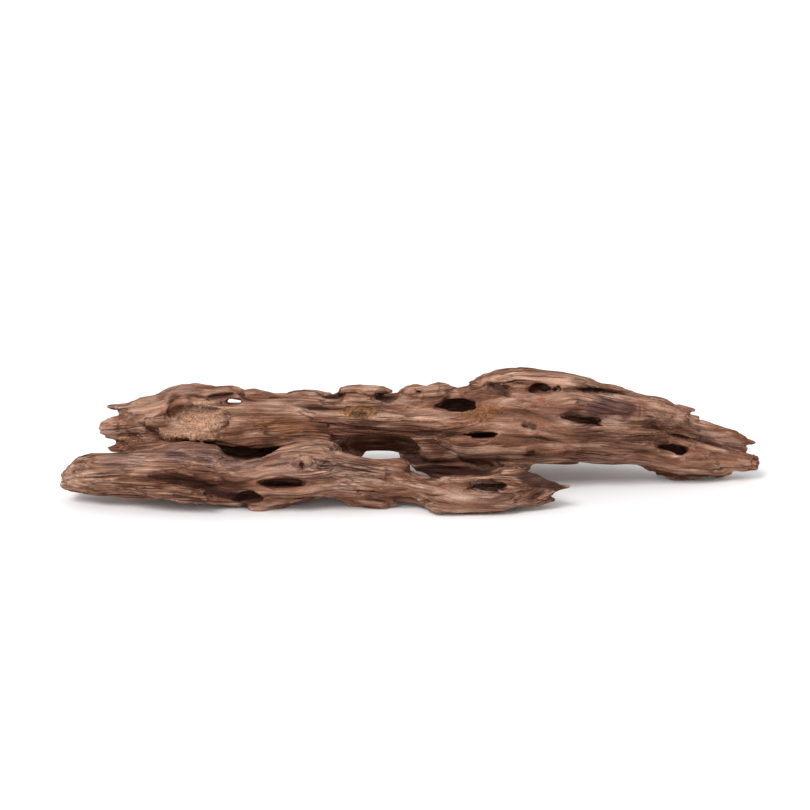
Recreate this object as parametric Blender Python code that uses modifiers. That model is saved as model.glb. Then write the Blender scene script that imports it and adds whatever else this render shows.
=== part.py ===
"""A weathered piece of driftwood: two logs of one trunk that part, meet again and end in splinters.

The piece lies along X and rests on the plane z = 0. +Y points to its back, +Z up.
Each limb is a loft through stations (x, y, z, half height, half depth), in millimetres.
The limbs are fused into one body, the rotted hollows are cut from it, and the weather rounds both.
"""

import math

import bmesh
import bpy
import numpy as np
from mathutils import Matrix, Vector, noise

MM = 0.001

# Driving sizes, in millimetres
SECTION_SPACING = 3.0
THINNEST = 0.4
RIDGE_WIDTH = 10.0
RIDGE_LENGTH = 75.0
FUSE_VOXEL = 1.35
WEATHER_VOXEL = 1.3
GRAIN_WIDTH = 6.5
GRAIN_LENGTH = 60.0
GRAIN_DEPTH = 1.4
DRIFT = 6.0
DRIFT_LENGTH = 70.0
DRIFT_WIDTH = 45.0

FLOOR_SLAB = (600.0, 300.0, 40.0)

SECTION_SIDES = 48
# The ridges' height as a share of the limb's own thickness
RIDGE_DEPTH = 0.17
SEED_STEP = 17.0
# Past this share of a limb's direction along Y, its sections are laid out from X
STEEPEST = 0.8
# Shape of a ridge: how high its back stands, how low its creases go, and the finer ripple on it
RIDGE_BACK = 2.4
CREASE = 0.55
RIPPLE = 0.45
RIPPLE_FINENESS = 2.3
SMOOTHING_ROUNDS = 3
SMOOTHING = 0.5
TRIANGLES = 11200

WOOD_COLOUR = (0.27, 0.165, 0.105, 1.0)
WOOD_ROUGHNESS = 0.85

LIMBS = {
    # The front log, from its blunt left end to where it runs into the front lobe
    "front_log": [
        (-224, -28, 14.2, 5.2, 7), (-220, -28, 14.6, 7.4, 10), (-215, -28, 15.9, 10, 13),
        (-205, -29, 17.8, 11.6, 16), (-190, -30, 19.6, 12.1, 18.5), (-170, -31, 19.1, 14.4, 21),
        (-150, -32, 20, 16.6, 23), (-130, -33, 18.8, 17, 24), (-115, -33, 15.7, 13.4, 24),
        (-100, -34, 15.6, 13.6, 23), (-85, -34, 18, 15, 22), (-70, -34, 18.6, 15.4, 21),
        (-55, -34, 20.3, 12.6, 20), (-40, -34, 18, 12.6, 18), (-25, -35, 16.8, 11.8, 17),
        (-10, -36, 15.5, 10.5, 15), (0, -37, 13, 8.1, 13), (10, -39, 11, 8, 13), (20, -42, 10, 6, 12),
    ],
    # The split board on top of the front log, broken off square at the middle
    "upper_board": [
        (-66, -32, 24.5, 7, 13), (-45, -33, 23.2, 6.8, 15), (-25, -33, 23, 5.8, 14),
        (-12, -33, 23.6, 4.9, 12), (-4, -33, 24.4, 4.3, 11), (0, -33, 24.4, 3.4, 9),
    ],
    "heel": [(-106, -43, 3.5, 3, 4), (-98, -42, 3.5, 4.8, 8), (-85, -42, 5.5, 5, 9), (-68, -40, 8, 4, 8)],
    "middle_foot": [
        (-46, -36, 9, 3, 6), (-37, -37, 5.2, 4.8, 8.5), (-26, -38, 3.6, 4.8, 9),
        (-15, -38, 3.4, 4.6, 9), (-9, -38, 5, 3.2, 6),
    ],
    "knot": [(-76, -44, 30, 2, 3), (-70, -46, 31.6, 4, 5), (-64, -46, 31.6, 4, 5), (-58, -44, 30, 2, 3)],
    "front_lobe": [
        (6, -43, 6, 3, 6), (13, -44, 7, 7, 12), (25, -45, 10, 10, 16), (40, -45, 10, 11, 17),
        (55, -45, 10.3, 11, 16), (68, -44, 11.5, 8.5, 12), (80, -44, 12.8, 6, 8.5), (90, -44, 13.5, 3.6, 5.5),
        (96, -44.5, 14.5, 2, 3), (100, -45, 15, 1.2, 1.8), (103, -45, 15.2, 0.8, 1),
    ],
    "lobe_lower_tip": [
        (66, -45, 7, 5, 8), (80, -46, 6.8, 3.2, 5), (87, -46, 6.8, 2, 3), (91, -46, 6.8, 0.9, 1.4),
    ],
    "spike_web": [(60, -28, 18, 6, 9), (74, -34, 17, 4.8, 6), (84, -39, 16, 3.2, 4), (94, -43, 15, 1.6, 2.4)],
    # The wall behind the recess, which ties the front lobe to the rear log
    "joining_wall": [
        (-4, 6, 24.2, 6, 7), (6, 6, 21.2, 9.8, 11), (17, 5, 18.2, 13.6, 12),
        (35, 3, 16.5, 14, 12), (55, 0, 16.5, 14.5, 12), (70, -6, 19, 11, 12), (79, -10, 22, 5, 8),
    ],
    "lobe_bridge": [(28, -18, 8, 5, 12), (42, -20, 8.5, 6.5, 15), (58, -24, 10, 8, 15), (72, -28, 14, 7, 10)],
    # Where the two logs meet at the middle of the left half
    "left_bridge": [
        (-84, -18, 28, 5, 8), (-68, -18, 28.5, 9, 14), (-54, -18, 28.5, 9, 14), (-44, -18, 26, 4, 8),
    ],
    # Hangs under the rear log, left of the gap between the logs
    "under_hump": [
        (-80, 8, 22, 4, 8), (-58, 8, 21, 6, 12), (-44, 8, 21, 6, 11), (-36, 8, 21.5, 5, 8),
        (-32, 8, 23, 2, 4),
    ],
    "left_web": [
        (-186, -6, 24, 6, 9), (-165, -6, 24, 8, 13), (-140, -4, 20, 8, 13),
        (-115, -2, 15, 8, 13), (-92, -2, 15, 8, 13), (-76, -6, 18, 8, 12),
    ],
    "rear_log": [
        (-190, 12, 37, 3, 4), (-178, 12, 37, 11, 12), (-165, 14, 38, 18, 18), (-150, 15, 38.5, 18.3, 22),
        (-135, 15, 39.5, 19, 25), (-120, 15, 39.5, 17.6, 26), (-105, 15, 40, 16.6, 27),
        (-90, 15, 39, 17.5, 27), (-75, 15, 39, 19.1, 27), (-60, 15, 38.5, 19.7, 27),
        (-45, 15, 38.7, 18.6, 27), (-30, 15, 39.4, 17.8, 27), (-15, 15, 39.3, 17.3, 27),
        (-5, 15, 38.9, 17.8, 27), (3, 16, 36.6, 21, 27), (15, 16, 36, 22.4, 28), (30, 16, 37.2, 21.7, 29),
        (45, 16, 38.2, 22.7, 30), (60, 17, 38.4, 25.4, 30), (75, 17, 39.4, 26.4, 29),
        (90, 18, 39, 26.6, 27), (105, 18, 38.6, 25.3, 26), (120, 18, 36.6, 23, 24),
        (135, 17, 34, 20, 22), (150, 16, 32.7, 17, 19), (168, 15, 31, 12, 14), (184, 14, 30, 4, 6),
    ],
    # Fills the rear log's front out to one smooth side toward the right
    "flank": [
        (62, 2, 41, 6, 11), (85, 0, 41.5, 9, 14), (110, 0, 41.5, 9.5, 15),
        (133, 4, 39.5, 9.5, 15), (156, 8, 37.5, 9, 13), (176, 12, 35.5, 6, 9),
    ],
    "under_lip": [
        (-164, -4, 38, 2.5, 5), (-145, -7, 36.5, 4, 7), (-118, -9, 36, 4.2, 7),
        (-92, -10, 35, 4.2, 7), (-72, -11, 35.5, 4, 7), (-52, -11, 38, 2.5, 5),
    ],
    "tooth_high": [
        (-201, 12, 51, 0.9, 1.4), (-196, 12, 50.8, 1.9, 3), (-188, 12.5, 49.4, 4, 6),
        (-179, 13, 48.2, 6.4, 9), (-162, 14, 47, 9, 14),
    ],
    "tooth_blunt": [
        (-204, 10, 37.4, 2.6, 3.6), (-199, 10, 37.2, 3.8, 6), (-190, 11, 38.8, 6.8, 9),
        (-165, 12, 40, 10, 14),
    ],
    "tooth_low": [
        (-201, 8, 31, 0.9, 1.4), (-195, 8, 30.4, 2, 3.5), (-186, 9, 30, 4, 8), (-155, 10, 31, 9, 14),
    ],
    "tooth_base": [
        (-200, 6, 24.4, 0.9, 1.4), (-194, 6, 24.4, 1.8, 3.5), (-184, 7, 25, 4, 8),
        (-160, 9, 27, 7, 13), (-140, 9, 30, 8, 14),
    ],
    "wing": [
        (-190, 13, 51.6, 1.6, 4), (-178, 14, 52.8, 3.2, 7), (-164, 15, 55.4, 4.2, 9), (-153, 16, 58.8, 5, 10),
        (-143, 16, 60, 5, 10), (-132, 16, 59.5, 4.6, 10), (-122, 17, 59.6, 3.6, 8),
        (-115, 17, 59.8, 2.6, 6), (-110, 17, 60, 1.2, 3),
    ],
    "pocket_rim": [(-172, 2, 44, 5, 7), (-162, 0, 47, 6, 7), (-154, 0, 52, 5, 7), (-144, 4, 57, 4, 8)],
    # A thick root at the back, which the piece rests on
    "back_root": [
        (-172, 16, 26, 5, 8), (-150, 24, 16, 9, 12), (-128, 30, 9.5, 10.6, 13),
        (-108, 29, 9.5, 10.4, 15), (-86, 24, 15, 9, 12), (-66, 22, 22, 7, 10),
    ],
    "back_strand_left": [
        (-18, 37, 31, 1, 2), (-45, 39, 28, 4.5, 7), (-90, 41, 30, 5.5, 7),
        (-130, 38, 31, 5, 7), (-168, 30, 31, 3, 4), (-188, 26, 31, 0.9, 1.4),
    ],
    "back_strand_right": [
        (8, 38, 26, 1, 2), (30, 41, 23, 4, 6), (60, 43, 22, 5.5, 8),
        (105, 40, 23, 5.5, 8), (150, 34, 22, 4, 5), (178, 29, 20, 0.9, 1.4),
    ],
    "back_ridge": [
        (-162, 30, 44, 2, 4), (-125, 36, 46, 5, 7), (-80, 35, 48, 4, 6), (-40, 39, 46, 5.5, 7),
        (5, 36, 49, 4, 6), (45, 42, 50, 6, 7), (85, 37, 51, 5, 7), (115, 38, 45, 5, 7), (146, 32, 41, 1.5, 3),
    ],
    "knob_left": [
        (-46, 12, 61, 2.6, 5), (-41, 14, 61, 3.8, 9), (-28, 17, 60.8, 3.8, 8),
        (-20, 15, 61.2, 3.2, 7), (-14, 12, 61.8, 1.8, 4), (-10, 11, 61.6, 0.9, 1.4),
    ],
    "knob_neck": [(-48, 18, 54, 4, 8), (-34, 16, 56, 6.5, 12), (-22, 20, 54, 4, 9)],
    "knob_right": [
        (-7, 18, 59, 2.5, 5), (0, 17, 60.5, 3.6, 9), (12, 14, 61, 3.8, 9),
        (22, 17, 61.6, 4, 9), (28, 18, 61.2, 2.2, 5), (31, 18, 60.4, 0.9, 1.4),
    ],
    "knob_root": [(-6, 26, 54, 3, 6), (12, 20, 56, 5, 13), (28, 24, 56, 3, 8)],
    "tongue": [(30, 17, 59, 2, 4), (40, 18, 60.5, 3, 8), (52, 20, 62, 6, 10)],
    "back_plank": [
        (41, 20, 61.3, 2.2, 5), (47, 22, 64, 4, 9), (56, 22, 66.2, 5.5, 11), (70, 22, 68.2, 6.8, 12),
        (90, 22, 67.2, 6, 12), (110, 22, 65, 5, 11), (125, 21, 61.4, 4, 10),
        (140, 20, 57.2, 3.6, 9), (155, 19, 53.6, 3.2, 8), (170, 18, 50.8, 2.8, 6),
        (180, 17, 48.4, 2, 4), (187, 17, 47.6, 1.3, 2.2), (192, 17, 47.2, 0.8, 1.2),
    ],
    "shoulder": [
        (45, 4, 54, 5, 12), (60, 4, 56, 7.5, 14), (85, 1, 55.5, 8.8, 15), (110, 0, 56, 8.5, 16),
        (130, 2, 52.5, 9.3, 16), (150, 5, 50, 8.8, 15), (168, 8, 48, 7.5, 12),
        (177, 10, 46, 5.5, 9), (184, 12, 45, 3.2, 5),
    ],
    "splinter_tip": [
        (168, 12, 44, 3.5, 7), (180, 14, 43, 2.4, 4), (188, 15, 42.6, 1.4, 2), (194, 15, 42.4, 0.8, 1.2),
    ],
    "lower_long": [
        (20, -2, 36, 8, 12), (34, -5, 34, 11, 16), (54, -5, 32.5, 12.5, 17), (70, -3, 30.5, 13.5, 17),
        (90, 0, 29.2, 12.4, 17), (110, 3, 27.8, 11, 17), (130, 6, 26.2, 11.6, 17), (150, 9, 25, 12, 16),
        (165, 11, 21, 12.6, 16), (180, 13, 16.6, 12.4, 15), (195, 14, 14, 11, 13),
        (205, 15, 13, 8.8, 11), (215, 15, 13.4, 7.8, 9), (223, 15, 12.6, 7, 8),
        (229, 15, 11.4, 6.4, 6.8), (233, 15, 11.2, 5.6, 5.8),
    ],
    "upper_finger": [
        (145, 11, 38, 8, 13), (165, 12, 36.5, 7, 12), (180, 13, 36.2, 6.5, 10), (195, 14, 33.6, 5.4, 8),
        (210, 15, 30.2, 4.8, 6.5), (219, 15, 27.6, 3.8, 5),
        (226, 15, 25.4, 2, 2.6), (230, 15, 24.8, 0.9, 1.2),
    ],
    "end_web": [(150, 12, 30, 7, 10), (185, 13, 27, 6, 9), (205, 14, 23, 5, 7), (219, 15, 20.5, 3.5, 5)],
    "keel": [
        (150, 15, 17, 4, 8), (165, 15, 11.2, 6, 9), (178, 16, 5.6, 5.8, 9), (190, 16, 5.6, 4.8, 8),
        (200, 16, 4.6, 4.9, 7.5), (207, 16, 3.6, 3.8, 5), (213, 16, 3, 2.2, 3), (218, 16, 3.4, 0.9, 1.2),
    ],
}

HOLLOWS = {
    "long_hole": [
        (-136, -16, 30.5, 1.5, 4), (-126, -17, 28, 4, 8), (-112, -18, 26.5, 5.5, 9),
        (-96, -18, 28, 5, 9), (-84, -17, 29.5, 4.2, 8), (-74, -16, 31, 1.5, 4),
    ],
    "seam": [
        (-164, -13, 36, 0.8, 3), (-150, -14, 35, 2, 6), (-138, -15, 33, 2.4, 7), (-126, -16, 31, 3, 7),
    ],
    "central_hole": [
        (-48, -10, 30, 2, 5), (-40, -8, 29.5, 7, 12), (-25, -7, 28.5, 10, 16),
        (-10, -7, 28, 10, 16), (0, -8, 26, 8, 13), (7, -10, 24, 3, 8),
    ],
    "recess": [
        (24, -26, 18.5, 1.2, 6), (34, -26, 18.6, 2.6, 9), (46, -26, 18.6, 2.6, 9), (57, -27, 19, 1, 4),
    ],
    "eye_hole": [
        (13, 2, 53.6, 0.8, 3), (22, 3, 53.6, 2.8, 10), (32, 4, 54, 4, 14), (41, 4, 53.8, 3.6, 12),
        (47, 2, 53.6, 1, 4),
    ],
    # Chambers behind the mouths of the eyes, which keep them dark
    "eye_chamber": [(18, 12, 49, 1, 4), (26, 13, 47.5, 6.5, 9), (38, 13, 47.5, 6.5, 9), (46, 12, 49, 1, 4)],
    "end_chamber": [(162, 8, 22.5, 1, 3), (170, 9, 21, 5.4, 6), (180, 9, 19.6, 5.4, 6), (187, 9, 19, 1, 3)],
    "lobe_chamber": [
        (40, -48, 15, 1, 3), (46, -48, 14.4, 3.2, 6), (53, -48, 14.4, 2.8, 6), (60, -47, 15, 1, 3),
    ],
    "slot": [
        (30, -14, 38.6, 0.8, 3), (41, -13, 39.2, 2.4, 10), (52, -13, 39.6, 2.4, 10),
        (61, -14, 39.8, 0.8, 3),
    ],
    "plank_hollow": [(43, 7, 62, 1.5, 4), (50, 8, 63, 4.2, 7), (59, 8, 63.6, 4, 7), (68, 9, 64.4, 1.2, 4)],
    "upper_hole": [(75, 8, 62.6, 0.8, 3), (82, 9, 63.4, 3, 12), (91, 9, 63.6, 3, 12), (98, 9, 63.4, 0.8, 4)],
    "top_crease": [
        (96, 8, 64, 0.6, 3), (110, 8, 63.2, 2, 7), (125, 9, 61, 2, 7), (140, 10, 58.2, 1.6, 7),
        (160, 12, 53.6, 0.6, 3),
    ],
    "slanted_slot": [
        (94, -14, 53, 0.8, 3), (102, -12, 52, 3, 9), (112, -11, 50, 3.6, 11), (121, -11, 48, 3, 9),
        (127, -12, 46.6, 0.8, 3),
    ],
    "face_groove": [
        (82, -17, 40, 0.8, 3), (94, -16, 38, 1.8, 4), (112, -14, 36.6, 1.8, 4), (134, -11, 36, 0.8, 3),
    ],
    "face_pit": [(72, -18, 29, 0.7, 2), (78, -17, 29.3, 2, 6), (84, -16, 29.6, 0.7, 2)],
    "end_eye": [(160, -4, 27, 0.8, 3), (169, -1, 27, 2.8, 9), (178, 0, 25, 3.2, 9), (187, 1, 23, 1, 4)],
    "end_slit": [(163, -1, 37.5, 0.6, 3), (175, 1, 36, 1.3, 6), (188, 4, 33, 0.6, 3)],
    "face_run": [
        (-174, -51, 26, 0.8, 3), (-160, -54, 24.5, 3, 5), (-142, -56, 21.5, 4, 6),
        (-127, -57, 17.5, 4, 6), (-114, -56, 13, 3, 5),
    ],
    "front_slot": [
        (-98, -52, 20.6, 0.8, 4), (-90, -51, 20.6, 2.5, 12), (-79, -51, 20.2, 3, 13),
        (-70, -51, 19.8, 2.6, 11), (-64, -52, 19.2, 0.8, 4),
    ],
    "heel_hollow": [
        (-135, -54, 9.5, 0.8, 3), (-124, -55, 10, 2.6, 6), (-112, -55, 10.8, 4, 9),
        (-102, -54, 11.2, 4.8, 12), (-96, -54, 11.4, 3.8, 10), (-92, -54, 12, 1, 3),
    ],
    "foot_slot": [(-34, -51, 13.6, 0.7, 2), (-27, -51, 13.8, 1.7, 6), (-20, -51, 13.6, 0.7, 2)],
    "lobe_hollow": [
        (36, -56, 18.8, 0.8, 3), (43, -55, 19.2, 3.4, 9), (52, -54, 18.4, 3, 9), (60, -53, 17.8, 1.8, 7),
        (66, -52, 17.4, 0.6, 3),
    ],
    "pocket": [
        (-160, -8, 48, 3, 5), (-150, -6, 50, 8, 10), (-138, -6, 50, 9.5, 11),
        (-126, -8, 49, 8, 9), (-117, -9, 49, 4, 5),
    ],
    # Runs from the front to the back under the wing, so that light shows through
    "arch_hole": [
        (-113, -24, 65.4, 1.6, 5), (-115, 0, 58.2, 2, 6.4), (-117, 24, 50.8, 2.2, 6.8),
        (-119, 52, 42.4, 3, 8),
    ],
    "behind_arch": [
        (-140, 38, 54, 1, 4), (-124, 38, 52, 5.5, 11), (-108, 38, 52, 5.5, 11), (-94, 38, 54, 1, 4),
    ],
    "wing_gap": [
        (-131, 4, 60, 0.8, 3), (-123, 4, 60, 1.6, 6), (-114, 4, 60.6, 1.4, 5), (-108, 4, 60.8, 0.6, 2),
    ],
    "tooth_crease": [(-176, -1, 41.5, 0.7, 2), (-168, -3, 40, 2, 4), (-160, -4, 37.5, 0.8, 2)],
    "oval_pocket": [
        (-46, -4, 52.3, 0.8, 3), (-39, -4, 52.4, 3.6, 6), (-28, -4, 52.4, 3.8, 6), (-21, -4, 52.4, 0.8, 3),
    ],
    "cave": [
        (-62, 9, 57.4, 0.8, 2), (-55, 9.5, 54.6, 4.6, 3.6), (-48, 10, 54.4, 5, 4), (-43, 10, 56.6, 1, 3),
    ],
    "knob_notch": [
        (-24, 10, 58, 0.8, 4), (-18, 11, 57.4, 3.4, 8), (-11, 11, 57, 3.4, 8), (-7, 10, 57.6, 0.8, 4),
    ],
    "knob_pit": [(1, 8, 62, 0.8, 2), (6, 8, 62.4, 2, 5), (11, 8, 62, 0.8, 2)],
    # The back is guessed, since the photograph shows only the front
    "back_trough": [
        (-92, 44, 38, 0.8, 3), (-62, 45, 37, 4.5, 7), (-22, 45, 36, 5, 8), (18, 47, 36, 4.5, 7),
        (44, 47, 37, 0.8, 3),
    ],
    "back_eye": [(96, 43, 40, 0.8, 3), (105, 41, 39, 3.6, 9), (118, 39, 37, 3.6, 9), (128, 38, 36, 0.8, 3)],
    "back_slot": [(52, 44, 28, 0.8, 3), (62, 43, 27, 2.6, 8), (76, 41, 27, 2.6, 8), (86, 40, 28, 0.8, 3)],
    "top_pocket": [
        (-96, 26, 59, 0.8, 3), (-86, 26, 59, 3.2, 7), (-70, 26, 59, 3.2, 7), (-60, 26, 59, 0.8, 3),
    ],
    "back_heel_hollow": [
        (-96, 34, 24, 0.8, 3), (-84, 34, 24, 4, 9), (-70, 34, 25, 4, 9), (-58, 34, 26, 0.8, 3),
    ],
}


def smooth_path(stations):
    """The stations joined by one smooth line, sampled every SECTION_SPACING.

    Args:
        stations: rows of x, y, z, half height and half depth, in millimetres.

    Returns:
        An array with one such row for each section.
    """
    rows = np.array(stations, float)
    chords = np.linalg.norm(np.diff(rows[:, :3], axis=0), axis=1)
    at = np.concatenate([[0.0], np.cumsum(chords)])
    slopes = np.gradient(rows, at, axis=0)
    count = max(4, int(round(at[-1] / SECTION_SPACING)) + 1)
    wanted = np.linspace(0, at[-1], count)
    span = np.clip(np.searchsorted(at, wanted, side="right") - 1, 0, len(chords) - 1)
    length = chords[span][:, None]
    t = (wanted - at[span])[:, None] / length
    return (
        (2 * t**3 - 3 * t**2 + 1) * rows[span]
        + (t**3 - 2 * t**2 + t) * length * slopes[span]
        + (3 * t**2 - 2 * t**3) * rows[span + 1]
        + (t**3 - t**2) * length * slopes[span + 1]
    )


def ridge(place):
    """Height of the grain's ridges at a place in the noise: round backs with sharp creases between."""
    return RIDGE_BACK * abs(noise.noise(place)) - CREASE + RIPPLE * noise.noise(place * RIPPLE_FINENESS)


def section_axes(tangent):
    """The two axes of a section across that direction: one level, toward the back, and one upward."""
    level = np.array([0.0, 1.0, 0.0])
    if abs(tangent[1]) > STEEPEST:
        level = np.array([-1.0, 0.0, 0.0])
    level -= np.dot(level, tangent) * tangent
    level /= np.linalg.norm(level)
    return level, np.cross(tangent, level)


def loft(bm, stations, seed):
    """Adds one limb to the mesh: a ridged tube through its stations, closed by a cap at each end."""
    rows = smooth_path(stations)
    centres = rows[:, :3]
    tangents = np.gradient(centres, axis=0)
    tangents /= np.linalg.norm(tangents, axis=1)[:, None]
    steps = np.linalg.norm(np.diff(centres, axis=0, prepend=centres[:1]), axis=1)
    rings = []
    for centre, tangent, along, size in zip(centres, tangents, np.cumsum(steps), rows[:, 3:]):
        level, up = section_axes(tangent)
        high, deep = np.maximum(size, THINNEST)
        ring = []
        for turn in np.linspace(0, 2 * math.pi, SECTION_SIDES, endpoint=False):
            across = (deep * math.cos(turn), high * math.sin(turn))
            start = along / RIDGE_LENGTH + SEED_STEP * seed
            in_noise = (across[0] / RIDGE_WIDTH, across[1] / RIDGE_WIDTH, start)
            swell = 1 + RIDGE_DEPTH * ridge(Vector(in_noise))
            place = centre + swell * (across[0] * level + across[1] * up)
            ring.append(bm.verts.new(Vector(place) * MM))
        rings.append(ring)
    for ring, following in zip(rings, rings[1:]):
        for side in range(SECTION_SIDES):
            near, far = side, (side + 1) % SECTION_SIDES
            bm.faces.new((ring[near], ring[far], following[far], following[near]))
    bm.faces.new(reversed(rings[0]))
    bm.faces.new(rings[-1])


def lofted(name, shapes, collection):
    """One object that holds a loft for each of the named shapes, not yet fused."""
    bm = bmesh.new()
    for seed, stations in enumerate(shapes.values()):
        loft(bm, stations, seed)
    bmesh.ops.recalc_face_normals(bm, faces=bm.faces)
    mesh = bpy.data.meshes.new(name)
    bm.to_mesh(mesh)
    bm.free()
    obj = bpy.data.objects.new(name, mesh)
    collection.objects.link(obj)
    return obj


def applied(obj):
    """Makes the object's mesh what its modifiers show, and removes them."""
    graph = bpy.context.evaluated_depsgraph_get()
    mesh = bpy.data.meshes.new_from_object(obj.evaluated_get(graph))
    obj.modifiers.clear()
    obj.data = mesh


def fuse(obj, voxel):
    """Fuses the object's overlapping shapes into one skin of even faces."""
    remesh = obj.modifiers.new("fuse", "REMESH")
    remesh.mode = "VOXEL"
    remesh.voxel_size = voxel * MM
    applied(obj)


def wear_smooth(obj):
    """Rounds the surface as water and sand do."""
    smooth = obj.modifiers.new("worn", "SMOOTH")
    smooth.factor = SMOOTHING
    smooth.iterations = SMOOTHING_ROUNDS
    applied(obj)


def keep_one_body(obj):
    """Drops loose scraps and sealed bubbles, so that one closed skin is left."""
    bm = bmesh.new()
    bm.from_mesh(obj.data)
    left = set(bm.verts)
    shells = []
    while left:
        shell, edge = set(), [left.pop()]
        while edge:
            vert = edge.pop()
            shell.add(vert)
            near = {e.other_vert(vert) for e in vert.link_edges} & left
            left -= near
            edge.extend(near)
        shells.append(shell)
    largest = max(shells, key=len)
    scraps = [vert for shell in shells if shell is not largest for vert in shell]
    bmesh.ops.delete(bm, geom=scraps, context="VERTS")
    bm.to_mesh(obj.data)
    bm.free()


def cut(obj, cutter):
    """Takes the cutter's shape away from the object."""
    boolean = obj.modifiers.new("cut", "BOOLEAN")
    boolean.operation = "DIFFERENCE"
    # The exact solver takes longer on a skin as fine as this one
    boolean.solver = "MANIFOLD"
    boolean.object = cutter
    applied(obj)


def raise_grain(obj):
    """Raises the coarse grain: ridges that run along the piece and waver as they go."""
    mesh = obj.data
    count = len(mesh.vertices)
    places = np.empty(3 * count, np.float32)
    mesh.vertices.foreach_get("co", places)
    normals = np.empty(3 * count, np.float32)
    mesh.vertex_normals.foreach_get("vector", normals)
    places = places.reshape(-1, 3) / MM
    heights = np.empty(count)
    for index, (x, y, z) in enumerate(places):
        drift = DRIFT * noise.noise(Vector((x / DRIFT_LENGTH, y / DRIFT_WIDTH, z / DRIFT_WIDTH)))
        in_noise = (x / GRAIN_LENGTH, (y + drift) / GRAIN_WIDTH, (z - drift) / GRAIN_WIDTH)
        heights[index] = ridge(Vector(in_noise))
    places += normals.reshape(-1, 3) * (GRAIN_DEPTH * heights)[:, None]
    mesh.vertices.foreach_set("co", (places * MM).astype(np.float32).ravel())
    mesh.update()


def thin_out(obj, triangles):
    """Leaves about that many triangles, closest together where the surface bends most."""
    obj.data.calc_loop_triangles()
    decimate = obj.modifiers.new("thin", "DECIMATE")
    decimate.ratio = triangles / len(obj.data.loop_triangles)
    decimate.use_collapse_triangulate = True
    applied(obj)


def floor_cutter(collection):
    """A slab under the plane z = 0, which leaves each foot a small flat spot."""
    size = Vector(FLOOR_SLAB) * MM
    bm = bmesh.new()
    bmesh.ops.create_cube(bm, size=1.0)
    bmesh.ops.scale(bm, vec=size, verts=bm.verts)
    bmesh.ops.translate(bm, vec=(0, 0, -size.z / 2), verts=bm.verts)
    mesh = bpy.data.meshes.new("floor_cutter")
    bm.to_mesh(mesh)
    bm.free()
    obj = bpy.data.objects.new("floor_cutter", mesh)
    collection.objects.link(obj)
    return obj


def centre(obj):
    """Slides the object along X and Y until the middle of its box is on the Z axis."""
    corners = np.array([vert.co for vert in obj.data.vertices])
    middle = (corners.min(axis=0) + corners.max(axis=0)) / 2
    obj.data.transform(Matrix.Translation((-middle[0], -middle[1], 0.0)))


def wood_material():
    """Dry brown wood."""
    material = bpy.data.materials.new("weathered_wood")
    material.use_nodes = True
    shader = material.node_tree.nodes["Principled BSDF"]
    shader.inputs["Base Color"].default_value = WOOD_COLOUR
    shader.inputs["Roughness"].default_value = WOOD_ROUGHNESS
    shader.inputs["Metallic"].default_value = 0.0
    return material


def new_collection(name):
    """A collection of that name in the scene."""
    collection = bpy.data.collections.new(name)
    bpy.context.scene.collection.children.link(collection)
    return collection


def main():
    """Builds the piece as one object named driftwood."""
    for obj in list(bpy.data.objects):
        bpy.data.objects.remove(obj)
    parts = new_collection("driftwood_piece")
    cutters = new_collection("cutters")

    wood = lofted("driftwood", LIMBS, parts)
    fuse(wood, FUSE_VOXEL)
    hollows = lofted("hollows", HOLLOWS, cutters)
    fuse(hollows, FUSE_VOXEL)
    cut(wood, hollows)
    fuse(wood, WEATHER_VOXEL)
    wear_smooth(wood)
    raise_grain(wood)
    keep_one_body(wood)
    thin_out(wood, TRIANGLES)
    floor = floor_cutter(cutters)
    cut(wood, floor)
    keep_one_body(wood)
    centre(wood)
    wood.data.materials.clear()
    wood.data.materials.append(wood_material())
    for cutter in (hollows, floor):
        cutter.hide_render = True
        cutter.display_type = "WIRE"


main()
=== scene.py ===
"""Dresses the driftwood's solid as dry, weathered wood, on a pale floor in soft studio light.

The solid gives the main shapes. A fine skin is drawn over it, and the wood's grain is laid through that
skin: each point knows how far along, across and into the grain it lies. Ridges, fibres, cracks and colours
all follow those three numbers. Cracks, pits and patches that show in the photograph are placed by its
pixels, each one on the surface that carries it. Some of those patches, the insides of the marks and the
hollows that see little sky are painted shade and shadow.
"""

from __future__ import annotations

import logging
import math
from dataclasses import dataclass, field
from enum import Enum
from typing import Any, Callable, Iterable, Sequence

import bmesh
import bpy
import numpy as np
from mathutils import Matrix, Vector, noise
from mathutils.bvhtree import BVHTree
from mathutils.kdtree import KDTree

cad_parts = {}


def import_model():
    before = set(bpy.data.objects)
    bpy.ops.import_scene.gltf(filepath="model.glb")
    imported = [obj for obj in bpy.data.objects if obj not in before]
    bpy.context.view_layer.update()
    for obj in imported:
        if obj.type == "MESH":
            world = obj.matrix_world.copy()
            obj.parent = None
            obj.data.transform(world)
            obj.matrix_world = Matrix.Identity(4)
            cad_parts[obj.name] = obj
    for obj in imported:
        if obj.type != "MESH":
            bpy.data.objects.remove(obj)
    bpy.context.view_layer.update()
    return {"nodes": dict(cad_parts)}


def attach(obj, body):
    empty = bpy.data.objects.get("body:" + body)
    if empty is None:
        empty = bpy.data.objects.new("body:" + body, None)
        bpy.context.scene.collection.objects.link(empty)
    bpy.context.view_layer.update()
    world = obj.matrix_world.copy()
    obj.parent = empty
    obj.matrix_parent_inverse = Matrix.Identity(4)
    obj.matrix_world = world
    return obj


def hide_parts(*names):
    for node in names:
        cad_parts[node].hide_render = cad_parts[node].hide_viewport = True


LOG = logging.getLogger("driftwood")

MM = 0.001
NODE = "driftwood"
BODY = "root"
# How flat the long cells of the wood are, into the grain.
CELL_FLATNESS = 0.55
# Noise below the first is closed wood and above the second is open.
GATE_STEP = (0.46, 0.62)
# How crumbly the wood is where the first loose crumbs lie, and where they lie thickest.
CRUMB_STEP = (0.25, 0.8)

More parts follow.
